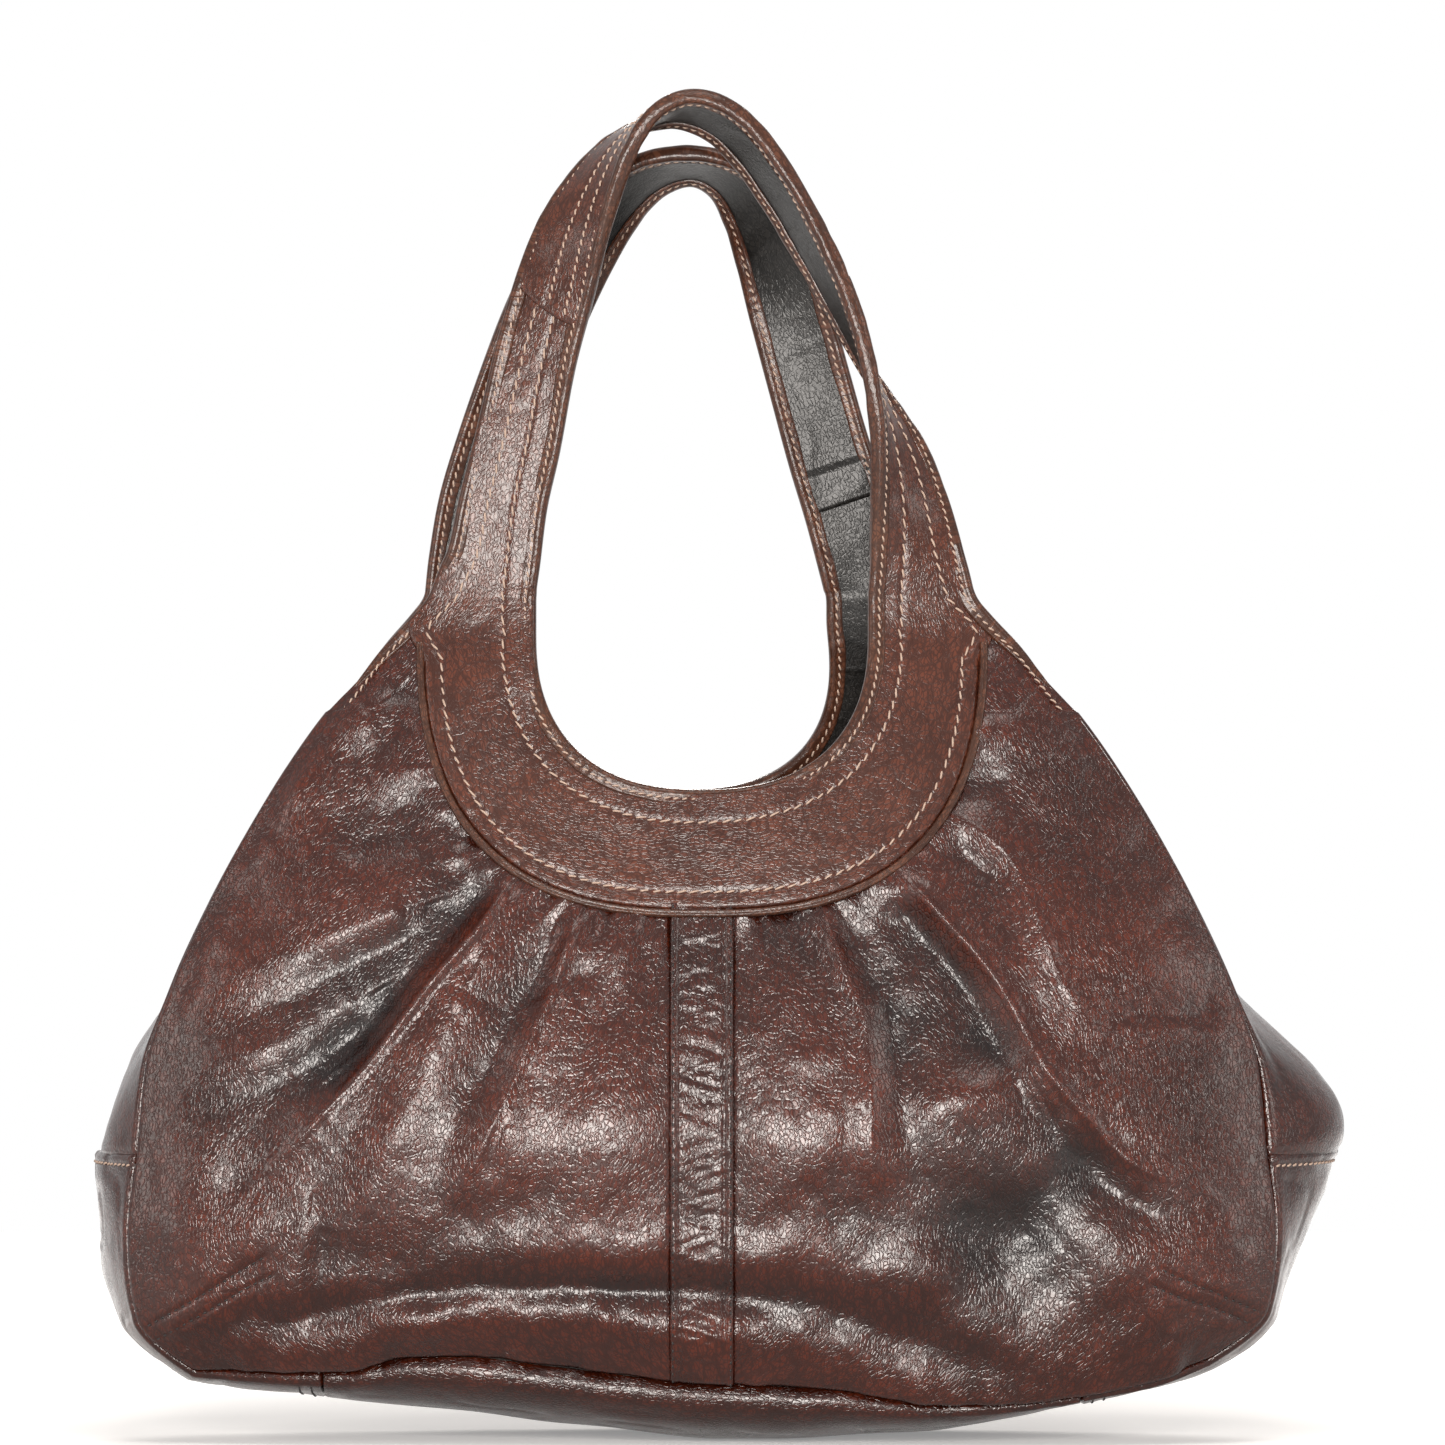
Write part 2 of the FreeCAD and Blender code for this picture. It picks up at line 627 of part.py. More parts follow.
def make_slip_pockets():
    """Two pockets that stand a little open on the front lining."""
    for name, hand in (("phone_pocket", -1), ("slip_pocket", 1)):
        low = min(hand * pocket_inner_edge, hand * (pocket_inner_edge + pocket_width))
        high = low + pocket_width
        start = lining_face + layer_gap
        outer = sheet(FRONT, pocket_bottom, pocket_mouth, start, pocket_gape + pocket_wall)
        outer = outer.common(column(FRONT, low, high, 0, hinge_height))
        inner = sheet(FRONT, pocket_bottom, pocket_mouth, start - 1, pocket_gape + 1)
        room = column(FRONT, low + pocket_wall, high - pocket_wall, pocket_bottom + pocket_wall, hinge_height)
        save(name, outer.cut(inner.common(room)))


def zip_point(x, z, inset):
    """A point on the rear lining, near the zip."""
    return on_sheet(REAR, x, z, inset)


def make_zip():
    """The zip in the rear lining: tapes, two rows of teeth, end stops and the pocket behind."""
    cloth = sheet(REAR, base_seam_height, gusset_top_height, lining_inset, lining_thickness)
    half_gap = 0.3
    left, right = seam_gap - zip_length / 2, zip_length / 2 - seam_gap
    low, high = zip_height - tape_width + seam_gap, zip_height + tape_width - seam_gap
    save("zip_tape_upper", cloth.common(column(REAR, left, right, zip_height + half_gap, high)))
    save("zip_tape_lower", cloth.common(column(REAR, left, right, low, zip_height - half_gap)))
    count = int((zip_length - 16.0) / tooth_pitch)
    for word, row in (("upper", 1), ("lower", -1)):
        teeth = []
        for i in range(count):
            x = -tooth_pitch * (count - 1) / 2 + tooth_pitch * (i + row * 0.25)
            teeth.append(tooth(x, row))
        save("zip_teeth_" + word, Part.makeCompound(teeth))
    stops = [stop(hand * (zip_length / 2 - 4.0)) for hand in (-1, 1)]
    save("zip_stops", Part.makeCompound(stops))
    start = leather_thickness + layer_gap
    pouch_low = section_spacing * round((zip_height - zip_pocket_depth) / section_spacing)
    pouch = sheet(REAR, pouch_low, zip_height + pouch_margin, start, zip_pocket_thickness)
    half = zip_pocket_width / 2
    pouch = pouch.common(column(REAR, -half, half, 0, hinge_height))
    save("zip_pocket_bag", pouch)


def zip_frame(x):
    """The face of the zip at x: a point on it and the directions across it and out of it."""
    base = zip_point(x, zip_height, lining_face)
    above = zip_point(x, zip_height + 1.0, lining_face)
    up = (above - base).normalize()
    out = up.cross(Vector(1, 0, 0)).normalize()
    out = out if out.y < 0 else out * -1
    return base, up, out


def plate(base, up, out, x_size, low, high, start, finish):
    """A block on the zip's face: x_size wide, low to high up it and start to finish out of it."""
    corners = []
    for u, v in ((low, start), (high, start), (high, finish), (low, finish)):
        corners.append(base + up * u + out * v + Vector(-x_size / 2, 0, 0))
    face = Part.Face(Part.makePolygon(corners + corners[:1]))
    return face.extrude(Vector(x_size, 0, 0))


def tooth(x, row):
    """One metal tooth, clamped on its tape and reaching just past the middle."""
    base, up, out = zip_frame(x)
    low, high = sorted((-row * tooth_reach / 2, row * tooth_depth))
    return plate(base, up, out, tooth_width, low, high, 0.05, tooth_rise)


def stop(x):
    """A bar across both tapes at one end of the zip."""
    base, up, out = zip_frame(x)
    return plate(base, up, out, 2.0, -tooth_depth, tooth_depth, 0.05, tooth_rise + 0.4)


def make_slider():
    """The slider astride the teeth, with a bail along it, and the pull that hangs from the bail."""
    base, up, out = zip_frame(slider_start)
    chain = tooth_rise + slider_clearance
    body_block = plate(base, up, out, slider_length, -slider_width / 2, slider_width / 2, 0.35, chain + slider_plate)
    tunnel = tooth_depth + slider_clearance
    hollow = plate(base, up, out, slider_length + 2, -tunnel, tunnel, -1.0, chain)
    shell = body_block.cut(hollow)
    top = chain + slider_plate
    half_bar = bail_bar / 2
    arch = plate(base, up, out, bail_length, -half_bar, half_bar, top - 0.2, top + bail_height)
    eye = plate(base, up, out, bail_length - 2 * bail_bar, -bail_bar, bail_bar, top, top + bail_height - bail_bar)
    save("zip_slider", shell.fuse(arch.cut(eye)).removeSplitter())
    pin = base + out * (top + bail_height - half_bar)
    save("zip_pull", pull(pin))
    return pin


def pull(pin):
    """A flat tab hanging from the bail, with a hole that the bail's bar runs through along X."""
    width = bail_length - 2 * bail_bar - 0.6
    ring_outer = pull_hole_radius + 1.2
    start = Vector(pin.x - width / 2, pin.y, pin.z)
    ring_solid = Part.makeCylinder(ring_outer, width, start, Vector(1, 0, 0))
    half = pull_thickness / 2
    neck = block(
        pin.x - width / 2, pin.x + width / 2, pin.y - half, pin.y + half, pin.z - ring_outer - 2.0, pin.z
    )
    low = pin.z - ring_outer - pull_length
    leaf = block(
        pin.x - pull_width / 2, pin.x + pull_width / 2, pin.y - half, pin.y + half, low, pin.z - ring_outer - 1.0
    )
    corners = [e for e in leaf.Edges if abs(e.tangentAt(0).y) > 0.9 and e.CenterOfMass.z < low + 1]
    leaf = leaf.makeFillet(pull_width / 2 - 0.4, corners)
    hole = Part.makeCylinder(pull_hole_radius, width + 2, start - Vector(1, 0, 0), Vector(1, 0, 0))
    return ring_solid.fuse([neck, leaf]).cut(hole).removeSplitter()


def tab_pin(side, z):
    """Where a snap tab's fold line crosses the middle of the bag."""
    reach = depth(0.0, z) - sandwich - layer_gap - tab_thickness / 2
    return Vector(0, side * reach, z)


def make_tabs():
    """The two hanging tabs and the halves of the magnetic snap that they carry."""
    stack = 2 * snap_thickness + snap_clearance + tab_thickness
    front_pin = tab_pin(FRONT, upper_tab_height)
    rear_pin = tab_pin(REAR, upper_tab_height - stack)
    half = tab_thickness / 2
    pins = {}
    for word, pin, stud in (("front", front_pin, True), ("rear", rear_pin, False)):
        drop = abs(pin.y)
        leaf = block(
            -tab_width / 2,
            tab_width / 2,
            pin.y - half,
            pin.y + half,
            pin.z - drop - tab_past_snap,
            pin.z,
        )
        low = leaf.BoundBox.ZMin
        ends = [e for e in leaf.Edges if abs(e.tangentAt(0).y) > 0.9 and e.CenterOfMass.z < low + 1]
        leaf = leaf.makeFillet(snap_radius, ends)
        save(word + "_snap_tab", leaf)
        # Both halves face the front while the tabs hang
        seat = Vector(0, pin.y - half, pin.z - drop)
        disc = Part.makeCylinder(snap_radius, snap_thickness, seat, Vector(0, -1, 0))
        if stud:
            tip = seat + Vector(0, -snap_thickness, 0)
            disc = disc.fuse(Part.makeCylinder(snap_post_radius, snap_post_length, tip, Vector(0, -1, 0)))
        else:
            disc = disc.cut(Part.makeCylinder(snap_hole_radius, snap_thickness, seat, Vector(0, -1, 0)))
        save(word + "_snap_half", disc.removeSplitter())
        pins[word] = pin
    return pins


def arm_station(side, hand):
    """The end of a strap, over the top of a yoke's arm."""
    x = place_x(side, hand * (rim_half_width + strap_arm_width / 2), hinge_height)
    width = place_x(side, strap_arm_width, hinge_height) - place_x(side, 0, hinge_height)
    return StrapStation(x, hinge_height + hinge_gap / 2, width, 0)


def strap_path(side, stations):
    """Evenly spread points along a strap, with the outer face's normals, directions and widths there."""
    stations = [arm_station(side, -1), *stations, arm_station(side, 1)]
    lengths = [0.0]
    for a, b in zip(stations, stations[1:]):
        lengths.append(lengths[-1] + math.hypot(b.x - a.x, b.z - a.z))
    crown = max(s.z for s in stations)
    points, angles, widths = [], [], []
    for i in range(strap_sections + 1):
        at = lengths[-1] * i / strap_sections
        x, z, width, angle = (
            natural_spline(list(zip(lengths, [s[field] for s in stations])), at) for field in range(4)
        )
        rise = (z - stations[0].z) / (crown - stations[0].z)
        points.append(Vector(x, side * (strap_start_depth - strap_lean * rise), z))
        widths.append(width)
        angles.append(math.radians(angle))
    ahead = directions(points)
    ahead[0], ahead[-1] = Vector(0, 0, 1), Vector(0, 0, -1)
    outer = []
    for angle, tangent in zip(angles, ahead):
        away = Vector(-tangent.z, 0, tangent.x).normalize()
        outer.append(Vector(0, side, 0) * math.cos(angle) + away * math.sin(angle))
    return points, outer, ahead, widths


def natural_spline(knots, at):
    """Catmull-Rom value through (position, value) knots."""
    index = max([i for i, knot in enumerate(knots[:-1]) if knot[0] <= at + 1e-9] or [0])
    (p1, v1), (p2, v2) = knots[index], knots[index + 1]
    p0, v0 = knots[index - 1] if index else (2 * p1 - p2, 2 * v1 - v2)
    p3, v3 = knots[index + 2] if index + 2 < len(knots) else (2 * p2 - p1, 2 * v2 - v1)
    h = p2 - p1
    t = (at - p1) / h
    slope1, slope2 = (v2 - v0) / (p2 - p0) * h, (v3 - v1) / (p3 - p1) * h
    return (
        v1 * (2 * t**3 - 3 * t**2 + 1)
        + v2 * (3 * t**2 - 2 * t**3)
        + slope1 * (t**3 - 2 * t**2 + t)
        + slope2 * (t**3 - t**2)
    )


def strap_layer(path, v_low, v_high):
    """A flat layer all along the strap, edge_trim inside the outer faces of its bindings."""
    points, normals, tangents, widths = path

    def profile(i):
        half = widths[i] / 2 - edge_trim
        return [(-half, v_low), (half, v_low), (half, v_high), (-half, v_high)]

    return bar(points, normals, tangents, profile)


def strap_binding(path, hand):
    """The C-shaped binding along one edge of the strap."""
    points, normals, tangents, widths = path

    def profile(i):
        return c_profile(hand * widths[i] / 2, -hand, sandwich)

    return bar(points, normals, tangents, profile)


def make_strap(side, word, stations):
    """A strap: leather arms and top, the lining under them, and a binding along each edge."""
    path = strap_path(side, stations)
    top = sandwich / 2
    leather = strap_layer(path, top - leather_thickness, top)
    far = 2 * belly_half_width
    above = block(-far, far, -far, far, lap_height + seam_gap, 2 * far)
    save(word + "_strap_top", leather.common(above))
    middle = path[0][strap_sections // 2].x
    save(word + "_strap_arm_left", leather.common(block(-far, middle, -far, far, 0, lap_height)))
    save(word + "_strap_arm_right", leather.common(block(middle, far, -far, far, 0, lap_height)))
    save(word + "_strap_lining", strap_layer(path, -top, -top + facing_thickness))
    inner_hand = 1 if side == FRONT else -1
    save(word + "_strap_binding_inner", strap_binding(path, inner_hand))
    save(word + "_strap_binding_outer", strap_binding(path, -inner_hand))


def main():
    os.makedirs(OUTPUT_FOLDER, exist_ok=True)
    for side, word in ((FRONT, "front"), (REAR, "rear")):
        make_panels(side, word)
        make_facing(side, word)
        make_bindings(side, word)
    make_band()
    make_lining()
    make_slip_pockets()
    make_zip()
    slider_pin = make_slider()
    tab_pins = make_tabs()
    make_strap(FRONT, "front", FRONT_STRAP)
    make_strap(REAR, "rear", REAR_STRAP)
    print("strap hinge", hinge_depth, hinge_height)
    print("snap tab hinges", tab_pins)
    print("zip pull pin", slider_pin)


main()
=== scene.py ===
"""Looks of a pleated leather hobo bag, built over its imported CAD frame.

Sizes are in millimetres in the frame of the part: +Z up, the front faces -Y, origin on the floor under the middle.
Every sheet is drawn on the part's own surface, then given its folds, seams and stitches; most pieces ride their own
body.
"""

import math
from collections import namedtuple

import bpy
import numpy as np
from bpy.props import FloatProperty, FloatVectorProperty, PointerProperty
from bpy.types import Operator, Panel, PropertyGroup
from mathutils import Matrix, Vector


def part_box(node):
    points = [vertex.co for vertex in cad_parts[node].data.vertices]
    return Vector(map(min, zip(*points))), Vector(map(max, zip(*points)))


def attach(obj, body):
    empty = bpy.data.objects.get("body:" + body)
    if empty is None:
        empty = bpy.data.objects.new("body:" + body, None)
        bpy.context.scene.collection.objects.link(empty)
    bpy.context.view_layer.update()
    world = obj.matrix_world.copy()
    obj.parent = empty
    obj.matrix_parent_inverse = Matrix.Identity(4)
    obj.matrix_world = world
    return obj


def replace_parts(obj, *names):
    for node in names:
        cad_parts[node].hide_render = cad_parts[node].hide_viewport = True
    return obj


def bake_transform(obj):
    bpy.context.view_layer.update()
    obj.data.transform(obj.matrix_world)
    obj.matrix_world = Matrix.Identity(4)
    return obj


bl_info = {
    "name": "Pleated hobo bag",
    "version": (1, 0, 0),
    "blender": (4, 5, 0),
    "location": "3D View > Sidebar > Hobo Bag",
    "description": "Builds the leather, lining, bindings and stitches of a pleated hobo bag",
    "category": "Add Mesh",
}

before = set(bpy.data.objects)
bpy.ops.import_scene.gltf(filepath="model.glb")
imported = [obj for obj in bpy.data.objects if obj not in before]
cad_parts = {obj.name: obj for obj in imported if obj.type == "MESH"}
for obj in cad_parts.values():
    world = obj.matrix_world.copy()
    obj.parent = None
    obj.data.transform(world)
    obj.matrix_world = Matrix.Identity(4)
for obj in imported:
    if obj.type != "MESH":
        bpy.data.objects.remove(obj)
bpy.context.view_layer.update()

MM = 0.001
FRONT, REAR = -1, 1
WORDS = {FRONT: "front", REAR: "rear"}

# ---------------------------------------------------------------- sizes shared with the part

leather, layer_gap, facing = 1.6, 0.3, 1.2
sandwich = leather + layer_gap + facing
lining_face = sandwich + layer_gap
base_seam, gusset_seam, gusset_top, shoulder, hinge, arm_top = 21.0, 97.0, 243.0, 272.0, 281.0, 280.2
strap_foot = 281.8
rim_half, rim_top, rim_bottom, rim_roundness = 55.3, 269.0, 216.7, 2.4
yoke_half, yoke_top, yoke_bottom, yoke_roundness = 94.0, 270.0, 176.0, 2.6
arm_width = 35.7
strip_half = 10.7
base_half, base_end, base_roundness = 125.0, 168.0, 2.67
# How far up from the base's seam the bag still settles
settle_height = 45.0

# height, half width at the side seams, half depth there and in the middle, how far the gusset bulges past them
STATIONS = (
    (0, 100, 31, 38, 3),
    (6, 131, 38, 46, 3),
    (21, 168, 43, 56, 4),
    (40, 188, 44, 61, 5),
    (70, 191, 43, 64, 12),
    (97, 188, 41, 64, 20.5),
    (125, 185.5, 37, 60, 12),
    (150, 177.5, 33, 54, 0),
    (180, 164.5, 28, 46, -7),
    (212, 147, 23, 37, -9),
    (243, 126, 18.5, 29.5, -8),
    (272, 99, 16, 23, -6),
    (295, 99, 15.5, 20, -6),
)
SHOULDER_EDGE = ((243, 126), (252, 117.5), (262, 108.5), (272, 99), (281, 91))

# x, z, width and face angle along each strap, between its two feet
FRONT_STRAP = (
    (-69.9, 292, 31.7, 0), (-66.2, 313, 29.6, 3), (-61.6, 332, 29, 6), (-55.8, 360, 28, 10), (-49.8, 382, 28, 16),
    (-43.5, 402, 28, 33), (-36, 418, 28, 52), (-27, 431.5, 28, 72), (-15, 441.5, 28, 95), (-3, 443.5, 28, 110),
    (10, 437, 28, 115), (23, 421, 28, 115), (36, 399, 28, 112), (47, 377, 28, 105), (55, 358, 28, 92),
    (61, 343, 28, 74), (65.5, 330, 28.5, 55), (69, 313, 29.6, 33), (71.5, 295, 31.7, 10),
)
REAR_STRAP = (
    (-76.9, 292, 31, 0), (-74.2, 312, 29.6, 0), (-68.5, 332, 29, 2), (-61, 355, 28, 5), (-52.5, 377, 28, 12),
    (-43, 396, 28, 25), (-32, 411.5, 28, 44), (-19, 422.5, 28, 62), (-4, 426.5, 28, 72), (8.5, 422, 28, 62),
    (18, 410.5, 28, 43), (24.5, 395.5, 28, 24), (29.5, 378, 28, 10), (36, 354, 28, 3), (42.7, 330, 28.5, 0),
    (49, 311, 29.6, 0), (54, 295, 31, 0),
)
STRAPS = {FRONT: FRONT_STRAP, REAR: REAR_STRAP}
strap_lean, lap_height = 3.5, 378.0
zip_level, zip_half = 144.0, 74.0

# The settled base: underside, front bottom seam and rear bottom seam, as heights along the bag
UNDERSIDE = (
    (-177, 21.7), (-151, 17.7), (-124, 13.7), (-97, 11), (-71, 8.3), (-44, 5.2), (-17, 1.8), (5, 0), (25, 0),
    (49, 1.3), (76, 3.3), (103, 7.7), (129, 13.3), (156, 19), (177, 28),
)
SEAMS = {
    FRONT: ((-168, 24), (-119, 24.5), (-97, 29), (-78, 29.5), (-51, 26.5), (-13, 22), (44, 18.5), (81, 13.5),
            (103, 14), (126, 16.5), (149, 20.5), (168, 28)),
    REAR: ((-168, 26), (-110, 23), (-60, 18), (0, 20), (60, 26), (110, 24), (168, 26)),
}
# How far each side of the settled gusset lies past the plain one, left and right
SIDE_SAG = {
    -1: ((21, 0), (52, 3), (72, -1.5), (92, -5), (102, -7), (122, -6), (135, -4.5), (160, 0)),
    1: ((21, 0), (52, 0), (72, 1.5), (82, 3), (92, 4), (102, 8), (112, 10), (122, 7.5), (132, 3.5), (150, 0)),
}

# ---------------------------------------------------------------- the folds

# A fold's ridge follows its route (x, z); its valley lies to the left (1) or right (-1) of that way
Fold = namedtuple("Fold", "route ridge width valley side reach")
FRONT_FOLDS = (
    Fold(
        ((-64, 187), (-72, 173), (-88, 155), (-99, 141), (-112, 125), (-124, 112), (-136, 99), (-152, 83), (-170, 62)),
        5.5, 5, 6.5, -1, 9,
    ),
    Fold(
        ((-40, 180), (-48, 155), (-51, 147), (-56, 137), (-62, 122), (-67, 111), (-73, 99), (-81, 85), (-88, 76)),
        3.8, 4.5, 4.0, -1, 6,
    ),
    Fold(((-78, 150), (-86, 133), (-96, 110), (-106, 88), (-115, 70), (-126, 48)), 4.0, 7, 1.6, -1, 6),
    Fold(((-114, 148), (-135, 136), (-155, 128), (-178, 118)), 3.6, 6, 2.2, 1, 6),
    Fold(((-130, 117), (-148, 103), (-164, 92), (-181, 80)), 4.0, 6, 2.4, 1, 6),
    Fold(((-50, 148), (-42, 149), (-32, 151)), 0.6, 3, 1.6, 1, 2.4),
    Fold(((-64, 106), (-62, 86)), 0.8, 3, 1.2, -1, 3),
    Fold(((-98, 177), (-122, 168), (-150, 156), (-180, 140)), 4.4, 6, 3.0, 1, 7),
    Fold(((-110, 242), (-128, 224), (-146, 205)), 4.0, 8, 1.6, 1, 7),
    Fold(((-84, 206), (-100, 191), (-120, 180)), 1.8, 6, 2.2, -1, 5),
    Fold(((-92, 226), (-112, 214), (-132, 200)), 1.2, 6, 1.4, 1, 5),
    Fold(((-130, 74), (-134, 53), (-142, 36)), 1.6, 4, 2.4, 1, 3.5),
    Fold(((-23, 176), (-26, 158), (-27, 140)), 1.2, 4, 1.4, 1, 3.5),
    Fold(((40, 178), (48, 155), (54, 141), (56, 120), (57, 96), (58, 76)), 3.2, 4.5, 5.0, 1, 6),
    Fold(((52, 110), (55, 83)), 0.8, 3, 1.2, -1, 3),
    Fold(((24, 176), (28, 160), (32, 142)), 1.2, 4, 1.4, 1, 3.5),
    Fold(
        ((67, 186), (81, 171), (95, 155), (104, 140), (112, 125), (127, 108), (142, 93), (163, 85), (188, 73)),
        6.0, 5, 8.0, -1, 9,
    ),
    Fold(((84, 208), (102, 193), (111, 172), (119, 152), (130, 136), (142, 124)), 4.0, 6, 3.6, -1, 7),
    Fold(((139, 138), (165, 136), (178, 139)), 1.6, 4, 2.4, 1, 3.5),
    Fold(((94, 232), (112, 218), (134, 206)), 1.2, 6, 1.4, -1, 5),
    Fold(((188, 44), (172, 50), (158, 58)), 1.2, 5, 2.0, 1, 4),
    Fold(((-176, 36), (-160, 46), (-146, 60)), 1.2, 5, 2.0, -1, 4),
    Fold(((118, 103), (128, 85), (133, 74), (138, 60)), 1.8, 6, 2.6, 1, 6),
)
# A swelling: centre x and z, half extents, height
FRONT_SWELLS = (
    (-33, 102, 25, 40, 3.6), (100, 68, 24, 22, -5.5), (92, 116, 22, 10, 3.0), (-118, 135, 14, 20, -2.5),
    (150, 60, 26, 16, 2.5), (-165, 70, 22, 30, 2.5), (30, 100, 16, 40, 1.6), (-100, 60, 26, 10, -2.0),
    (150, 160, 20, 20, 2.0), (70, 60, 22, 10, 2.5), (-130, 195, 16, 20, 1.8), (130, 95, 10, 16, -2.0),
)
# The crease above the rolled bottom
ROLL_CREASE = (
    (-150, 38), (-138, 40), (-90, 49), (-45, 52.5), (-10, 52), (30, 49), (60, 42), (90, 34), (118, 27),
)
# Two rows of close stitches hold a dart at each lower corner
CORNER_ROWS = (
    ((-184, 37), (-168, 47), (-152, 58), (-144, 63)), ((-181, 32), (-165, 42), (-150, 52), (-141, 57)),
    ((184, 40), (172, 47), (160, 54), (151, 59)), ((181, 35), (169, 42), (157, 49), (148, 54)),
)


# ---------------------------------------------------------------- arithmetic on arrays


def smooth(t):
    t = np.clip(t, 0.0, 1.0)
    return t * t * (3 - 2 * t)


def monotone(knots, at):
    """Monotone cubic through (position, value) knots, held at its end values."""
    x, v = np.array(knots, float).T
    h = np.diff(x)
    s = np.diff(v) / h
    slope = np.concatenate([s[:1], np.zeros(len(x) - 2), s[-1:]])
    rising = s[:-1] * s[1:] > 0
    low, high = np.where(rising, s[:-1], 1.0), np.where(rising, s[1:], 1.0)
    slope[1:-1] = np.where(rising, (h[:-1] + h[1:]) / (h[1:] / low + h[:-1] / high), 0.0)
    at = np.clip(at, x[0], x[-1])
    i = np.clip(np.searchsorted(x, at, side="right") - 1, 0, len(x) - 2)
    t = (at - x[i]) / h[i]
    ease = t * t * (3 - 2 * t)
    return v[i] * (1 - ease) + v[i + 1] * ease + h[i] * (slope[i] * t * (1 - t) ** 2 - slope[i + 1] * t * t * (1 - t))


def table(knots, low, high, step=0.25):
    grid = np.arange(low, high + step, step)
    values = monotone(knots, grid)
    return lambda at: np.interp(at, grid, values)


BODY = {
    field: table([(s[0], s[i]) for s in STATIONS], 0, 295)
    for i, field in enumerate(("half", "seam", "middle", "bulge"), 1)
}
shoulder_edge = table(SHOULDER_EDGE, 243, 281)
underside = table(UNDERSIDE, -177, 177)
SEAM_LINE = {side: table(knots, -168, 168) for side, knots in SEAMS.items()}
SAG = {hand: table(knots, 21, 160) for hand, knots in SIDE_SAG.items()}
rear_share = table([(150, 0), (272, 1)], 150, 272)


def noise(x, y, size, seed):
    """Smooth value noise between -1 and 1 with features about size across (one number or two)."""
    size = size if isinstance(size, tuple) else (size, size)
    values = np.random.default_rng(seed).uniform(-1, 1, (64, 64))
    u, v = x / size[0], y / size[1]
    i, j = np.floor(u).astype(int), np.floor(v).astype(int)
    s, t = smooth(u - i), smooth(v - j)
    i, j, k, m = i % 64, j % 64, (i + 1) % 64, (j + 1) % 64
    near = values[i, j] * (1 - s) + values[k, j] * s
    return near * (1 - t) + (values[i, m] * (1 - s) + values[k, m] * s) * t


def hill(distance, width):
    """A rounded ridge: 1 at no distance, near 0 at twice its width."""
    return np.exp(-((distance / width) ** 2))


def creases(x, y, size, seed, sharp=0.16):
    """Thin creases along the zero lines of noise, from 0 to -1."""
    return -hill(noise(x, y, size, seed), sharp)


def place_x(side, x, z):
    if side == FRONT:
        return x + 0 * z
    share = rear_share(z)
    return x * (1 - 0.075 * share) - 9.3 * share


def settle(side, x, z):
    """The height at which a point drawn at z lies once the base has settled."""
    seam = SEAM_LINE[side](x) - base_seam
    low = underside(x) * (1 - z / base_seam) + seam * z / base_seam
    return z + np.where(z < base_seam, low, seam * (1 - smooth((z - base_seam) / settle_height)))


def depth(x, z):
    middle = BODY["middle"](z)
    return middle - (middle - BODY["seam"](z)) * (x / BODY["half"](z)) ** 4


def on_sheet(side, x, z, inset=0.0):
    """Points of the front or rear sheet at x and z, inset from its outer face."""
    x, z = np.broadcast_arrays(np.asarray(x, float), np.asarray(z, float))
    return np.stack([place_x(side, x, z), side * (depth(x, z) - inset), settle(side, x, z)], -1)


def superellipse(half, top, bottom, roundness, grow=0.0, count=1500):
    angle = np.linspace(0, math.pi, count)
    c, s = np.cos(angle), np.sin(angle)
    x = -np.sign(c) * np.abs(c) ** (2 / roundness) * (half + grow)
    return np.stack([x, top - np.abs(s) ** (2 / roundness) * (top - bottom + grow)], -1)


def resample(points, count=None, spacing=None):
    """Points spread evenly along a polyline, and their distance along it."""
    length = np.concatenate([[0], np.cumsum(np.linalg.norm(np.diff(points, axis=0), axis=1))])
    count = count or max(2, int(length[-1] / spacing) + 1)
    at = np.linspace(0, length[-1], count)
    return np.stack([np.interp(at, length, points[:, k]) for k in range(points.shape[1])], -1), at


def yoke_outline(grow=0.0):
    return superellipse(yoke_half, yoke_top, yoke_bottom, yoke_roundness, grow)


def within_yoke(x, z, reach):
    """Whether a point lies inside the yoke's curve drawn with half width reach."""
    down = np.clip(yoke_top - z, 0, None)
    return (np.abs(x) / reach) ** yoke_roundness + (down / reach) ** yoke_roundness < 1


def rim_outline(grow=0.0):
    return superellipse(rim_half, rim_top, rim_bottom, rim_roundness, grow)


def beside(route, x, z):
    """Signed distance of points to a route (left is positive) and how far along it they are, from 0 to 1."""
    knots = np.array(route, float)
    if len(knots) > 2:
        t = np.arange(len(knots))
        fine = np.linspace(0, len(knots) - 1, 3 * len(knots))
        knots = np.stack([monotone(np.stack([t, knots[:, k]], -1), fine) for k in (0, 1)], -1)
    nearest = np.full(x.shape, 1e9)
    along, sign = np.zeros(x.shape), np.ones(x.shape)
    count = len(knots) - 1
    for i in range(count):
        a, d = knots[i], knots[i + 1] - knots[i]
        px, pz = x - a[0], z - a[1]
        t = np.clip((px * d[0] + pz * d[1]) / (d @ d), 0, 1)
        gap = np.hypot(px - t * d[0], pz - t * d[1])
        closer = gap < nearest
        nearest = np.where(closer, gap, nearest)
        along = np.where(closer, (i + t) / count, along)
        sign = np.where(closer, np.sign(d[0] * pz - d[1] * px), sign)
    return nearest * sign, along


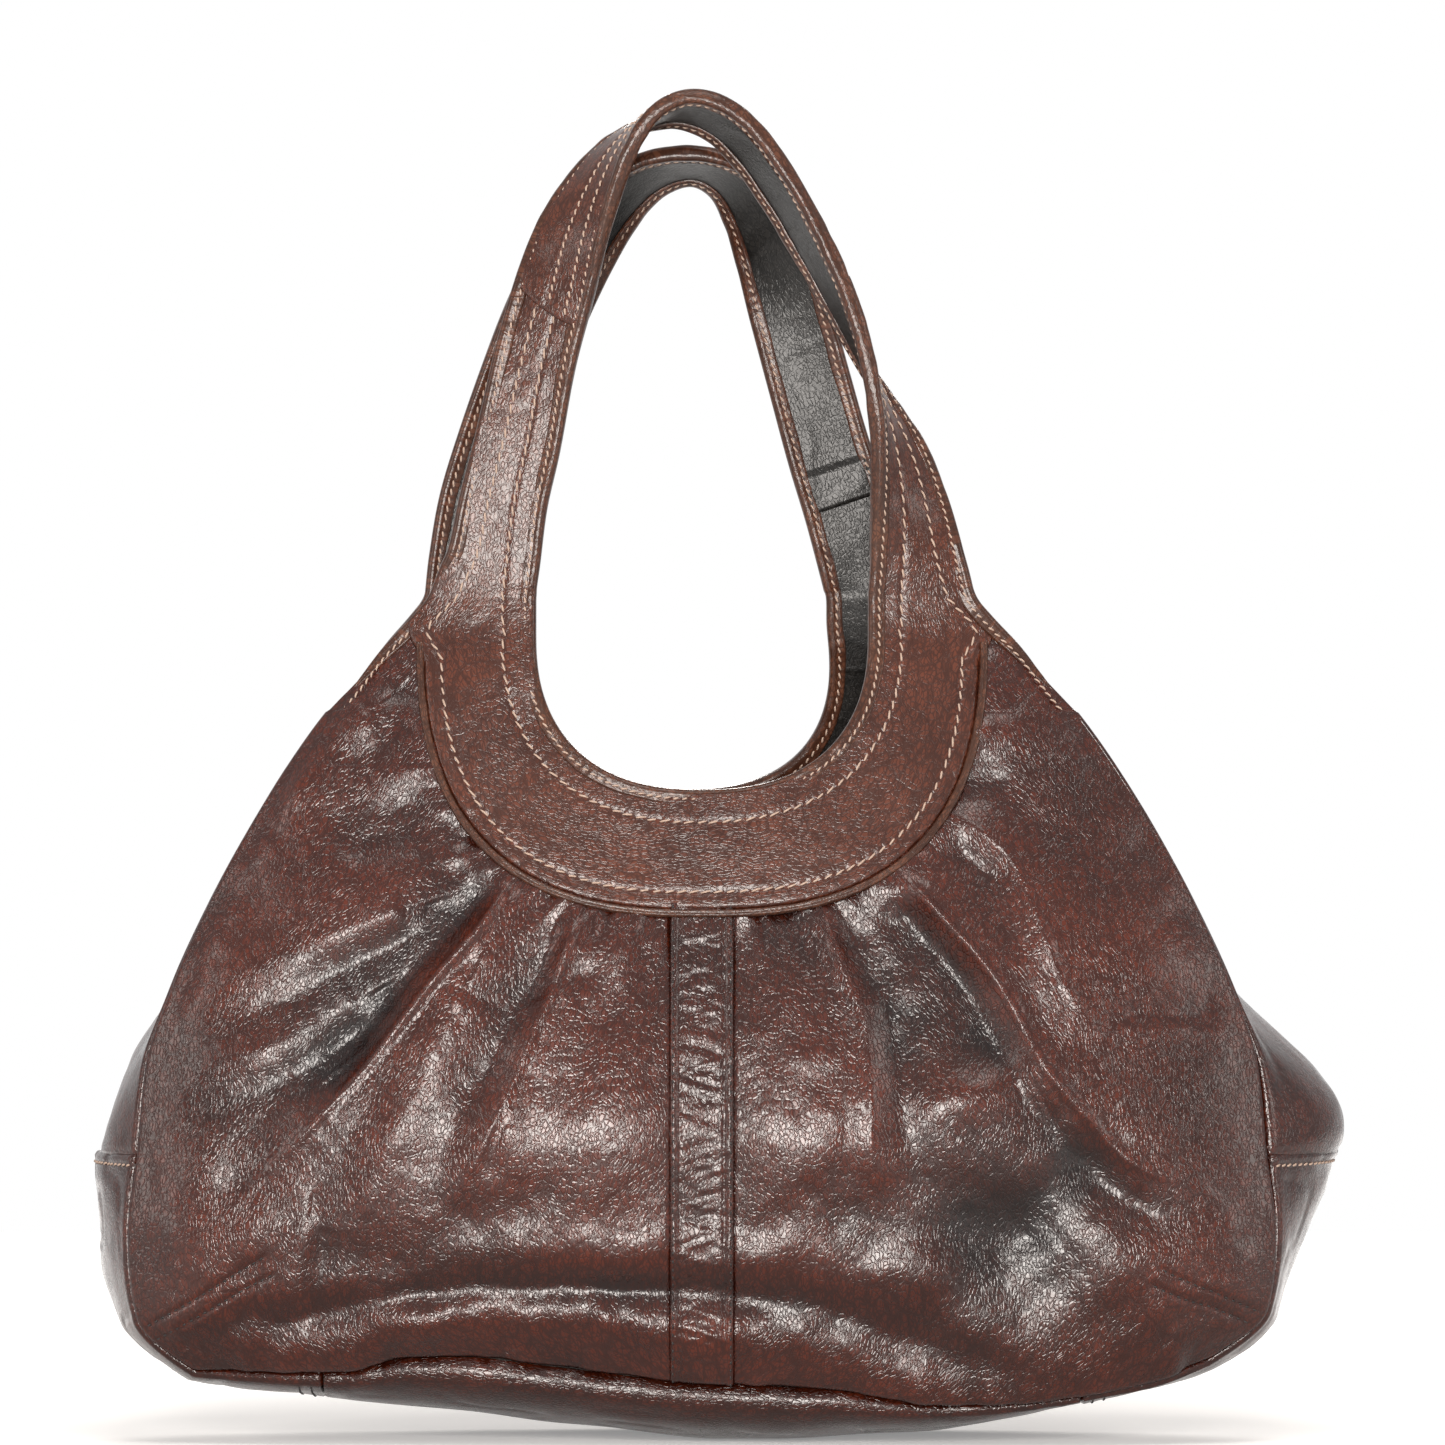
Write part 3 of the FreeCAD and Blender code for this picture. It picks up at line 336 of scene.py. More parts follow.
def fold_height(fold, x, z):
    """What one fold adds to the leather's height."""
    gap, along = beside(fold.route, x, z)
    gap = gap * fold.side
    fade = smooth(along / 0.12 + 0.5) * smooth((1 - along) / 0.35)
    width = fold.width * (0.8 + 1.0 * along)
    top = fold.ridge * 0.5
    deep = fold.valley * 0.42
    behind = top * hill(np.minimum(gap, 0), 2.6 * width)
    drop = (top + deep) * smooth(gap / (1.9 * width) + 0.08)
    back = deep * (1 - hill(np.maximum(gap - width, 0), 2.2 * fold.reach))
    sharp = 0.3 * min(max(fold.valley - 3.0, 0), 1)
    bead = sharp * fold.ridge * hill(gap + 0.6, 1.7) * (1 - along) ** 0.5
    return (behind - drop + back + bead) * fade


# ---------------------------------------------------------------- meshes


def normals_of(points, wrap=False):
    """Unit normals of a grid of points."""
    if wrap:
        across = np.roll(points, -1, 1) - np.roll(points, 1, 1)
    else:
        across = np.gradient(points, axis=1)
    normal = np.cross(across, np.gradient(points, axis=0))
    return normal / np.maximum(np.linalg.norm(normal, axis=2, keepdims=True), 1e-9)


def build(name, slot, vertices, faces, uvs=None, relief=None):
    """A mesh object from vertices in millimetres, with its material slot."""
    mesh = bpy.data.meshes.new(name)
    mesh.from_pydata((vertices * MM).tolist(), [], faces.tolist())
    mesh.polygons.foreach_set("use_smooth", np.ones(len(mesh.polygons), bool))
    if uvs is not None:
        corners = np.zeros(len(mesh.loops), int)
        mesh.loops.foreach_get("vertex_index", corners)
        mesh.uv_layers.new(name="leather").data.foreach_set("uv", uvs[corners].astype(np.float32).ravel())
    if relief is not None:
        # The relief height sets the leather finish's painted shade in the folds and painted light on the ridges
        mesh.attributes.new("relief", "FLOAT", "POINT").data.foreach_set("value", relief.astype(np.float32))
    obj = bpy.data.objects.new(name, mesh)
    bpy.context.scene.collection.objects.link(obj)
    mesh.materials.append(material(slot))
    return obj


def lay_out(points):
    """Texture coordinates in millimetres for a grid."""
    across = np.linalg.norm(np.diff(points, axis=1), axis=2)
    along = np.linalg.norm(np.diff(points, axis=0), axis=2)
    u = np.concatenate([np.zeros((len(points), 1)), np.cumsum(across, axis=1)], 1)
    u -= u[:, u.shape[1] // 2 : u.shape[1] // 2 + 1]
    v = np.concatenate([[0], np.cumsum(along.mean(axis=1))])
    return np.stack([u, np.broadcast_to(v[:, None], u.shape)], -1)


def sheet_arrays(points, thickness, away, keep=None, back=True, relief=None, uv=None):
    """A grid given thickness on the side away from away (a direction), closed all round its border."""
    normal = normals_of(points)
    turned = (normal * np.asarray(away, float)).sum(axis=2).mean() < 0
    if turned:
        normal = -normal
    rows, cols = points.shape[:2]
    index = np.arange(rows * cols).reshape(rows, cols)
    quads = np.stack([index[:-1, :-1], index[:-1, 1:], index[1:, 1:], index[1:, :-1]], -1)
    if keep is not None:
        quads = quads[keep[:-1, :-1] & keep[:-1, 1:] & keep[1:, 1:] & keep[1:, :-1]]
    quads = quads.reshape(-1, 4)
    if turned:
        quads = quads[:, ::-1]
    edges = np.concatenate([quads[:, [k, (k + 1) % 4]] for k in range(4)])
    keys = edges.min(axis=1) * (rows * cols) + edges.max(axis=1)
    _, first, counts = np.unique(keys, return_index=True, return_counts=True)
    border = edges[first[counts == 1]]
    shift = rows * cols
    sides = np.stack([border[:, 1], border[:, 0], border[:, 0] + shift, border[:, 1] + shift], -1)
    faces = [quads, sides] + ([quads[:, ::-1] + shift] if back else [])
    faces = np.concatenate(faces)
    vertices = np.concatenate([points.reshape(-1, 3), (points - normal * thickness).reshape(-1, 3)])
    uvs = (lay_out(points) if uv is None else uv).reshape(-1, 2)
    uvs = np.concatenate([uvs, uvs])
    tall = np.zeros(2 * shift) if relief is None else np.concatenate([relief.ravel()] * 2)
    used, faces = np.unique(faces, return_inverse=True)
    return vertices[used], faces.reshape(-1, 4), uvs[used], tall[used]


def sheet(name, slot, points, thickness, away, keep=None, back=True, relief=None, uv=None):
    return build(name, slot, *sheet_arrays(points, thickness, away, keep, back, relief, uv))


def merged(name, slot, parts):
    """One object from several (vertices, faces, uvs, relief) sets."""
    start, faces = 0, []
    for vertices, quads, _, _ in parts:
        faces.append(quads + start)
        start += len(vertices)
    whole = [np.concatenate([p[k] for p in parts]) for k in (0, 2, 3)]
    return build(name, slot, whole[0], np.concatenate(faces), whole[1], whole[2])


def sweep_arrays(points, across, out, section, closed=False):
    """A closed section swept along points: section(i) gives (u, v) pairs along across and out."""
    count = len(points)
    profile = section if section.ndim == 3 else np.broadcast_to(section, (count, *section.shape))
    rings = points[:, None] + across[:, None] * profile[..., :1] + out[:, None] * profile[..., 1:]
    sides = profile.shape[1]
    index = np.arange(count * sides).reshape(count, sides)
    following = np.roll(index, -1, 0) if closed else index[1:]
    near = index if closed else index[:-1]
    faces = np.stack([near, np.roll(near, -1, 1), np.roll(following, -1, 1), following], -1).reshape(-1, 4)
    girth = np.concatenate([[0], np.cumsum(np.linalg.norm(np.diff(rings[0], axis=0), axis=1))])
    along = np.concatenate([[0], np.cumsum(np.linalg.norm(np.diff(points, axis=0), axis=1))])
    uvs = np.stack(np.broadcast_arrays(girth[None], along[:, None]), -1).reshape(-1, 2)
    caps = []
    if not closed and sides % 2 == 0:
        for ring, turn in ((index[0], 1), (index[-1], -1)):
            half = sides // 2
            strip = [(ring[k], ring[k + 1], ring[sides - 2 - k], ring[sides - 1 - k]) for k in range(half - 1)]
            caps.append(np.array(strip)[:, ::turn])
    faces = np.concatenate([faces, *caps]) if caps else faces
    return rings.reshape(-1, 3), faces, uvs, np.zeros(count * sides)


def tube_faces(index):
    """Quads between the rings of an open tube."""
    low, high = index[:-1], index[1:]
    return np.stack([low, np.roll(low, -1, 1), np.roll(high, -1, 1), high], -1).reshape(-1, 4)


def look_up(at, along, values):
    """Vectors known at distances along a line, read at others."""
    return np.stack([np.interp(at, along, values[:, k]) for k in range(3)], -1)


def unit(v):
    return v / np.maximum(np.linalg.norm(v, axis=-1, keepdims=True), 1e-9)


def travel(points, closed=False):
    """Unit directions along a polyline."""
    if closed:
        return unit(np.roll(points, -1, 0) - np.roll(points, 1, 0))
    return unit(np.gradient(points, axis=0))


def circle(radius, sides=10):
    angle = np.arange(sides) * 2 * math.pi / sides
    return np.stack([np.cos(angle), np.sin(angle)], -1) * radius


def sheet_normal(side, x, z):
    """Outward unit normals of the front or rear sheet."""
    step = 0.5
    along_x = on_sheet(side, x + step, z) - on_sheet(side, x - step, z)
    along_z = on_sheet(side, x, z + step) - on_sheet(side, x, z - step)
    normal = unit(np.cross(along_x, along_z))
    return normal * np.sign(normal[..., 1:2] * side)


# ---------------------------------------------------------------- straps


def hermite(knots, values, at):
    """Catmull-Rom through values at knots."""
    i = np.clip(np.searchsorted(knots, at, side="right") - 1, 0, len(knots) - 2)
    k = np.concatenate([[2 * knots[0] - knots[1]], knots, [2 * knots[-1] - knots[-2]]])
    v = np.concatenate([[2 * values[0] - values[1]], values, [2 * values[-1] - values[-2]]])
    j = i + 1
    h = k[j + 1] - k[j]
    t = (at - k[j]) / h
    m1 = (v[j + 1] - v[j - 1]) / (k[j + 1] - k[j - 1]) * h
    m2 = (v[j + 2] - v[j]) / (k[j + 2] - k[j]) * h
    ease = t * t * (3 - 2 * t)
    return v[j] * (1 - ease) + v[j + 1] * ease + m1 * t * (1 - t) ** 2 - m2 * t * t * (1 - t)


class Strap:
    """One strap's middle line with its frame, looked up by distance from the left foot."""

    def __init__(self, side, count=900):
        self.side = side
        self.inner = 1 if side == FRONT else -1
        feet = []
        width = float(place_x(side, arm_width, hinge) - place_x(side, 0.0, hinge))
        for hand in (-1, 1):
            feet.append((float(place_x(side, hand * (rim_half + arm_width / 2), hinge)), strap_foot, width, 0.0))
        stations = np.array([feet[0], *STRAPS[side], feet[1]], float)
        steps = np.hypot(np.diff(stations[:, 0]), np.diff(stations[:, 1]))
        knots = np.concatenate([[0], np.cumsum(steps)])
        self.length = knots[-1]
        self.grid = np.linspace(0, self.length, count)
        x, z, self.wide, angle = (hermite(knots, stations[:, k], self.grid) for k in range(4))
        angle = np.radians(angle)
        start = depth(rim_half + arm_width / 2, hinge) - sandwich / 2
        rise = (z - z[0]) / (stations[:, 1].max() - z[0])
        self.middle = np.stack([x, side * (start - strap_lean * rise), z], -1)
        ahead = travel(self.middle)
        foot = smooth(np.minimum(self.grid, self.length - self.grid) / 8)[:, None]
        straight = np.where(self.grid[:, None] < self.length / 2, [[0, 0, 1.0]], [[0, 0, -1.0]])
        ahead = unit(ahead * foot + straight * (1 - foot))
        away = unit(np.stack([-ahead[:, 2], 0 * x, ahead[:, 0]], -1))
        face = np.array([0, side, 0.0]) * np.cos(angle)[:, None] + away * np.sin(angle)[:, None]
        self.out = unit(face - ahead * (face * ahead).sum(1, keepdims=True))
        self.ahead = ahead
        self.across = np.cross(ahead, self.out)

    def look(self, values, s):
        return look_up(s, self.grid, values)

    def width(self, s):
        return np.interp(s, self.grid, self.wide)

    def point(self, s, u, v):
        """The point at distance s, u across (towards the loop's inside where positive) and v out of the strap."""
        s, u, v = np.broadcast_arrays(np.asarray(s, float), np.asarray(u, float), np.asarray(v, float))
        u = u * self.inner
        base = self.look(self.middle, s) + self.look(self.across, s) * u[..., None]
        near = np.minimum(s, self.length - s)
        fade = 1 - smooth(near / 22)
        foot = self.middle[0, 1] * self.side
        centre = place_x(self.side, 0.0, hinge)
        drawn = np.abs((base[..., 0] - centre) / (place_x(self.side, 1.0, hinge) - centre))
        wanted = depth(np.minimum(drawn, 98), hinge) - sandwich / 2
        base[..., 1] += self.side * (wanted - foot) * fade
        return base + self.look(self.out, s) * v[..., None]

    def height_at(self, height, left=True):
        """How far along the strap its middle passes a height."""
        half = len(self.grid) // 2
        z = self.middle[:, 2]
        top = int(np.argmax(z))
        if left:
            return float(np.interp(height, z[:top], self.grid[:top]))
        return float(np.interp(-height, -z[top:], self.grid[top:]))


# ---------------------------------------------------------------- leather bands round the mouth


def band(side, rim_inset, edge_inset, face, high, spacing=0.8, columns=54):
    """The yoke and its arms: a grid from the rim outwards, from the left strap down, round the U and up to the right.

    face is how far out of the sandwich's middle the surface lies; high is how far along the strap each arm goes.
    Returns the points, and which rows belong to the U.
    """
    strap = Strap(side)
    share = np.linspace(0, 1, columns)
    climb = np.arange(0, high[0], spacing)[::-1]
    fall = strap.length - np.arange(0, high[1], spacing)
    half = strap.width(climb)[:, None] / 2
    left = strap.point(climb[:, None], half - rim_inset - share * (2 * half - rim_inset - edge_inset), face)
    half = strap.width(fall)[:, None] / 2
    right = strap.point(fall[:, None], half - rim_inset - share * (2 * half - rim_inset - edge_inset), face)
    rim, _ = resample(rim_outline(rim_inset), spacing=0.45)
    count = len(rim)
    outer, _ = resample(yoke_outline(-edge_inset), count=count)
    u_xz = rim[:, None] + (outer - rim)[:, None] * share[None, :, None]
    z = np.arange(strap_foot - 0.5, 270.2, -spacing)
    reach = yoke_half + (shoulder_edge(z) - yoke_half) * smooth((z - 264) / 9) - edge_inset
    near = rim_half + rim_inset
    arm_x = near + (reach - near)[:, None] * share
    arm_z = np.broadcast_to(z[:, None], arm_x.shape)
    arm = np.stack([-arm_x, arm_z], -1)
    other = np.stack([arm_x, arm_z], -1)[::-1]
    # The U's top rows lean out to the arm's width
    grow = smooth((u_xz[..., 1] - 258) / 12) * smooth(share)[None] * (reach[-1] + edge_inset - yoke_half)
    u_xz = np.stack([u_xz[..., 0] + np.sign(u_xz[..., 0]) * grow, u_xz[..., 1]], -1)
    flat = np.concatenate([arm, u_xz, other])
    sheet_points = on_sheet(side, flat[..., 0], flat[..., 1], sandwich / 2 - face)
    points = np.concatenate([left, sheet_points, right])
    first = len(left) + len(arm)
    in_u = np.zeros(len(points), bool)
    in_u[first : first + count] = True
    return points, in_u


def band_normals(side, points):
    normal = normals_of(points)
    middle = len(points) // 2
    turn = np.sign(normal[middle, :, 1].mean() * side)
    return normal * turn


def lane(points, normals, share, rows=slice(None)):
    """A line along a grid at a share of its width (one number or one per row), and the normals there."""
    share = np.broadcast_to(share, (len(points),))
    at = np.clip(share, 0, 1) * (points.shape[1] - 1)
    low = np.minimum(at.astype(int), points.shape[1] - 2)
    t = (at - low)[:, None]
    row = np.arange(len(points))
    line = points[row, low] * (1 - t) + points[row, low + 1] * t
    out = unit(normals[row, low] * (1 - t) + normals[row, low + 1] * t)
    return line[rows], out[rows]


def widths(points):
    return np.linalg.norm(np.diff(points, axis=1), axis=2).sum(axis=1)


def stitch_arrays(line, out, pitch=2.9, length=2.5, radius=0.34, slant=20, lift=0.06, closed=False):
    """Thread stitches along a line: small slanted lozenges that dip into the leather at both ends."""
    if closed:
        line, out = np.concatenate([line, line[:1]]), np.concatenate([out, out[:1]])
    gaps = np.concatenate([[0], np.cumsum(np.linalg.norm(np.diff(line, axis=0), axis=1))])
    count = int((gaps[-1] - 1.0) / pitch)
    at = (np.arange(count) + 0.5) * gaps[-1] / count
    centre = look_up(at, gaps, line)
    normal = unit(look_up(at, gaps, out))
    ahead = look_up(at + 0.4, gaps, line) - look_up(at - 0.4, gaps, line)
    ahead = unit(ahead - normal * (ahead * normal).sum(1, keepdims=True))
    sideways = np.cross(normal, ahead)
    angle = math.radians(slant)
    c, s = math.cos(angle), math.sin(angle)
    ahead, sideways = ahead * c + sideways * s, sideways * c - ahead * s
    steps = np.array([-1, -0.8, -0.35, 0, 0.35, 0.8, 1.0])
    size = radius * np.array([0.35, 0.8, 1.0, 1.02, 1.0, 0.8, 0.35])
    rise = lift + radius * np.array([-1.6, -0.5, 0.25, 0.4, 0.25, -0.5, -1.6])
    sides = 6
    turn = np.arange(sides) * 2 * math.pi / sides
    ring = (
        centre[:, None, None]
        + ahead[:, None, None] * (steps * length / 2)[None, :, None, None]
        + normal[:, None, None] * (rise[:, None] + size[:, None] * np.sin(turn))[None, ..., None]
        + sideways[:, None, None] * (size[:, None] * np.cos(turn) * 1.15)[None, ..., None]
    )
    block = np.arange(len(steps) * sides).reshape(len(steps), sides)
    faces = tube_faces(block)
    ends = [np.array([[e[0], e[1], e[2], e[3]], [e[0], e[3], e[4], e[5]]]) for e in (block[0], block[-1][::-1])]
    faces = np.concatenate([faces, *ends])
    each = len(steps) * sides
    every = (faces[None] + (np.arange(count) * each)[:, None, None]).reshape(-1, 4)
    uvs = np.stack([np.tile(turn * radius, len(steps)), np.repeat(steps * length / 2, sides)], -1)
    return ring.reshape(-1, 3), every, np.tile(uvs, (count, 1)), np.zeros(count * each)


def follow(obj, side, *nodes):
    """Bakes a piece's placing into its mesh, and hides its CAD nodes, if any, in its place."""
    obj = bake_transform(obj)
    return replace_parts(obj, *nodes) if nodes else obj


def band_relief(uv, width, in_u):
    """Puckers along the seams and soft wrinkles of a band of leather."""
    u = uv[..., 0] - uv[:, :1, 0]
    v = uv[..., 1]
    to_edge = width[:, None] - u
    seam = np.where(in_u[:, None], 1.0, 0.0)
    turned, risen = u + 0.3 * v, v - 0.3 * u
    height = 1.0 * noise(turned, risen, (46, 44), 75) + 0.35 * noise(turned, risen, (17, 26), 70)
    height += 0.12 * noise(u - 0.5 * v, v, (6, 9), 71)
    height += 0.05 * noise(u + 0.4 * v, v, (3.1, 2.3), 72)
    tuck = hill(to_edge - 6.0, 1.0) * (0.5 + 0.2 * np.cos(v * 2 * math.pi / 3.0))
    height -= 0.7 * tuck * seam
    height += 0.25 * seam * hill(to_edge - 1.6, 1.2) * noise(u, v, (9, 2.6), 73)
    edge = np.clip(1 - to_edge / 2.0, 0, 1)
    height -= seam * 1.5 * (1 - np.sqrt(1 - edge**2 * 0.98))
    row = hill(u - 9.8, 0.9) * (0.5 + 0.2 * np.cos(v * 2 * math.pi / 3.0))
    return height - 0.55 * row


def make_yoke(side):
    """The yoke with both arms up to the laps."""
    word = WORDS[side]
    strap = Strap(side)
    laps = [strap.height_at(lap_height + 7), strap.length - strap.height_at(lap_height + 7, False)]
    points, in_u = band(side, 1.4, 1.0, sandwich / 2, laps)
    normal = band_normals(side, points)
    uv, width = lay_out(points), widths(points)
    raised = 0.9 * in_u[:, None] + 0.35 * ~in_u[:, None]
    blur = np.ones(41) / 41
    raised = np.convolve(np.pad(raised[:, 0], 20, mode="edge"), blur, "valid")[:, None]
    height = raised + band_relief(uv, width, in_u)
    points = points + normal * height[..., None]
    piece = sheet(word + "_yoke_leather", "yoke_leather", points, leather, (0, side, 0), uv=uv)
    follow(piece, side, word + "_yoke", word + "_strap_arm_left", word + "_strap_arm_right")
    yoke_rows(side, points, band_normals(side, points), width, in_u)


def yoke_rows(side, points, normal, width, in_u):
    """Two stitched rows: inside the piping, and beside the rim's binding."""
    high = np.convolve(np.pad(in_u.astype(float), 20, mode="edge"), np.ones(41) / 41, "valid")
    from_edge = 6.2 * high + 9.0 * (1 - high)
    outer = lane(points, normal, 1 - from_edge / width)
    inner = lane(points, normal, 9.8 / width)
    parts = [stitch_arrays(*row, 4.1, 3.7, 0.32, 14) for row in (outer, inner)]
    piece = merged(WORDS[side] + "_yoke_stitches", "thread", parts)
    follow(piece, side)


def make_strap_top(side):
    """The upper strap, whose curved ends lap over the arms."""
    word = WORDS[side]
    strap = Strap(side)
    columns = 44
    share = np.linspace(0, 1, columns)
    start, stop = strap.height_at(lap_height), strap.height_at(lap_height, False)
    curve = 4.5 * (share - 0.5) * 2 - 2.0 * (1 - (2 * share - 1) ** 2)
    low, high = start + curve, stop - curve
    rows = int((stop - start) / 0.9)
    t = np.linspace(0, 1, rows)[:, None]
    s = low + (high - low) * t
    half = strap.width(s) / 2 - 1.0
    crown = 0.9 + 0.5 * (1 - (2 * share - 1) ** 2)
    end = np.minimum(s - low, high - s)
    thick = crown - 0.25 * (1 - smooth(end / 2.0))
    points = strap.point(s, half * (1 - 2 * share), sandwich / 2 + thick)
    uv = lay_out(points)
    normal = normals_of(points)
    out = strap.look(strap.out, s)
    normal *= np.sign((normal * out).sum(-1, keepdims=True))
    u = uv[..., 0] - uv[:, :1, 0]
    across = u / np.maximum(u[:, -1:], 1e-6)
    v = uv[..., 1]
    height = 0.25 * noise(u, v, (12, 22), 81) + 0.1 * noise(u + 0.4 * v, v, (5, 7), 82)
    height -= 0.4 * np.exp(-(((across - 0.5) * 26 / 0.9) ** 2)) * (0.6 + 0.2 * np.cos(v * 2 * math.pi / 3))
    points = points + normal * height[..., None]
    middle = len(points) // 2
    piece = sheet(word + "_strap_leather", "yoke_leather", points, leather, out[middle].mean(axis=0), uv=uv)
    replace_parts(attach(piece, word + "_handle"), word + "_strap_top")
    line, face = lane(points, out, 0.5)
    lap_rows = [stitch_arrays(line[4:-4], face[4:-4])]
    line, face = lane(points, out, 6.6 / 26)
    lap_rows.append(stitch_arrays(line[2:-2], face[2:-2]))
    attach(merged(word + "_strap_stitches", "thread", lap_rows), word + "_handle")


def make_facing(side):
    """The dark leather inside the yoke, on up under the strap."""
    word = WORDS[side]
    strap = Strap(side)
    lap = strap.length - strap.height_at(316, False)
    points, in_u = band(side, 1.6, 0.6, -sandwich / 2 + facing, (strap.length - lap + 4, lap), 1.4, 26)
    normal = band_normals(side, points)
    uv = lay_out(points)
    soft = 0.35 * noise(uv[..., 0], uv[..., 1], (14, 24), 91) + 0.2 * creases(uv[..., 0], uv[..., 1], (18, 12), 92)
    proud = 0.7 * (np.arange(len(points)) < 10)[:, None]
    inner = points - normal * (facing + proud - soft * 0.6)[..., None]
    piece = sheet(word + "_facing_leather", "dark_leather", inner, facing, (0, -side, 0), uv=uv)
    follow(piece, side, word + "_facing", word + "_strap_lining")


# ---------------------------------------------------------------- bindings


def binding_section(count, along, bound=sandwich, width=5.6):
    """A folded binding's section at each step: plump, pinched by its stitches and a little uneven."""
    t = bound / 2
    half = np.array(
        [(width, t - 0.3), (width - 0.15, t + 0.55), (width - 0.8, t + 0.95), (3.6, t + 0.7), (2.7, t + 1.05),
         (1.6, t + 1.15), (0.7, t + 0.85), (0.15, t + 0.1), (-0.05, t * 0.45)]
    )
    section = np.concatenate([half, half[::-1] * (1, -1)])
    section = np.broadcast_to(section, (count, *section.shape)).copy()
    wave = np.cos(along * 2 * math.pi / 3.0)
    for k in (3, len(half) * 2 - 4):
        section[:, k, 1] *= 1 - 0.13 * (0.5 + 0.5 * wave)
    uneven = noise(along, along * 0, (5.0, 10), 21) * 0.12 + noise(along, along * 0, (17.0, 10), 22) * 0.1
    section[..., 1] *= (1 + uneven * 0.6)[:, None]
    section[:, :3, 0] += (noise(along, along * 0, (9.0, 10), 23) * 0.35)[:, None]
    section[:, -3:, 0] += (noise(along, along * 0, (9.0, 10), 24) * 0.35)[:, None]
    return section


def frame_along(points, inward, out, closed=False, spacing=0.75):
    """Even steps along an edge, with the directions across (towards the leather) and out."""
    if closed:
        points, inward, out = (np.concatenate([a, a[:1]]) for a in (points, inward, out))
    packed, along = resample_frames(points, inward, out, spacing)
    line, inward, out = packed
    if closed:
        line, inward, out, along = line[:-1], inward[:-1], out[:-1], along[:-1]
    ahead = travel(line, closed)
    out = unit(out - ahead * (out * ahead).sum(1, keepdims=True))
    across = np.cross(ahead, out)
    across *= np.sign((across * inward).sum(1, keepdims=True))
    return line, across, out, along


def resample_frames(points, inward, out, spacing):
    gaps = np.concatenate([[0], np.cumsum(np.linalg.norm(np.diff(points, axis=0), axis=1))])
    at = np.linspace(0, gaps[-1], int(gaps[-1] / spacing) + 1)
    return [look_up(at, gaps, values) for values in (points, inward, out)], at


def soften(array, reach, closed=False):
    """A running mean along the first axis."""
    kernel = np.ones(2 * reach + 1) / (2 * reach + 1)
    padded = np.pad(array, ((reach, reach), (0, 0)), mode="wrap" if closed else "edge")
    return np.stack([np.convolve(padded[:, k], kernel, "valid") for k in range(array.shape[1])], -1)


def make_bindings(side):
    """The binding round the rim and the strap's inner edge, and that over the shoulders and the outer edge."""
    word = WORDS[side]
    strap = Strap(side)
    s = np.arange(0, strap.length + 0.01, 0.8)
    across = strap.look(strap.across, s) * strap.inner
    out = strap.look(strap.out, s)
    half = strap.width(s) / 2
    # The rim, a closed loop with the strap
    z = np.arange(strap_foot - 0.6, 269.5, -0.8)
    rim = rim_outline()[::6]
    x = np.concatenate([-rim_half + 0 * z, rim[:, 0], rim_half + 0 * z])
    zs = np.concatenate([z, rim[:, 1], z[::-1]])
    low = on_sheet(side, x, zs, sandwich / 2)
    normal = sheet_normal(side, x, zs)
    away = np.stack([x / rim_half, 0 * x, (zs - 250) / 35 * (zs < 262)], -1)
    loop = [
        np.concatenate([low, strap.point(s, half, 0)[::-1]]),
        np.concatenate([unit(away), -across[::-1]]),
        np.concatenate([normal, out[::-1]]),
    ]
    loop = [soften(a, 3, True) for a in loop]
    line, inward, face, along = frame_along(*loop, closed=True)
    section = binding_section(len(line), along)
    parts = sweep_arrays(line, inward, face, section, True)
    piece = build(word + "_rim_binding_leather", "binding_leather", *parts)
    follow(piece, side, word + "_rim_binding", word + "_strap_binding_inner")
    lines = [(line + inward * 3.6 + face * (sandwich / 2 + 0.5), face, True)]
    lines.append((line + inward * 3.6 - face * (sandwich / 2 + 0.5), -face, True))
    # The shoulders and the outer edge
    levels = np.arange(245.0, strap_foot - 0.5, 0.8)
    edge = shoulder_edge(levels)
    shoulders = []
    for hand in (-1, 1):
        low = on_sheet(side, hand * edge, levels, sandwich / 2)
        normal = sheet_normal(side, hand * edge, levels)
        inwards = np.stack([-hand + 0 * levels, 0 * levels, -0.6 + 0 * levels], -1)
        shoulders.append((low, unit(inwards), normal))
    left, right = shoulders
    chain = [
        np.concatenate([left[0], strap.point(s, -half, 0), right[0][::-1]]),
        np.concatenate([left[1], across, right[1][::-1]]),
        np.concatenate([left[2], out, right[2][::-1]]),
    ]
    chain = [soften(a, 3) for a in chain]
    line, inward, face, along = frame_along(*chain)
    section = binding_section(len(line), along)
    taper = 0.12 + 0.88 * smooth(np.minimum(along, along[-1] - along) / 34)
    section *= taper[:, None, None] ** (1.0, 0.5)
    line = line + inward * (3.0 * (1 - taper))[:, None]
    parts = sweep_arrays(line, inward, face, section)
    piece = build(word + "_edge_binding_leather", "binding_leather", *parts)
    follow(
        piece, side, word + "_strap_binding_outer", word + "_shoulder_binding_left", word + "_shoulder_binding_right"
    )
    lines.append((line + inward * 3.6 + face * (sandwich / 2 + 0.5), face, False))
    lines.append((line + inward * 3.6 - face * (sandwich / 2 + 0.5), -face, False))
    stitched = [stitch_arrays(a, b, closed=c, radius=0.3, lift=0.25) for a, b, c in lines]
    follow(merged(word + "_binding_stitches", "thread", stitched), side)


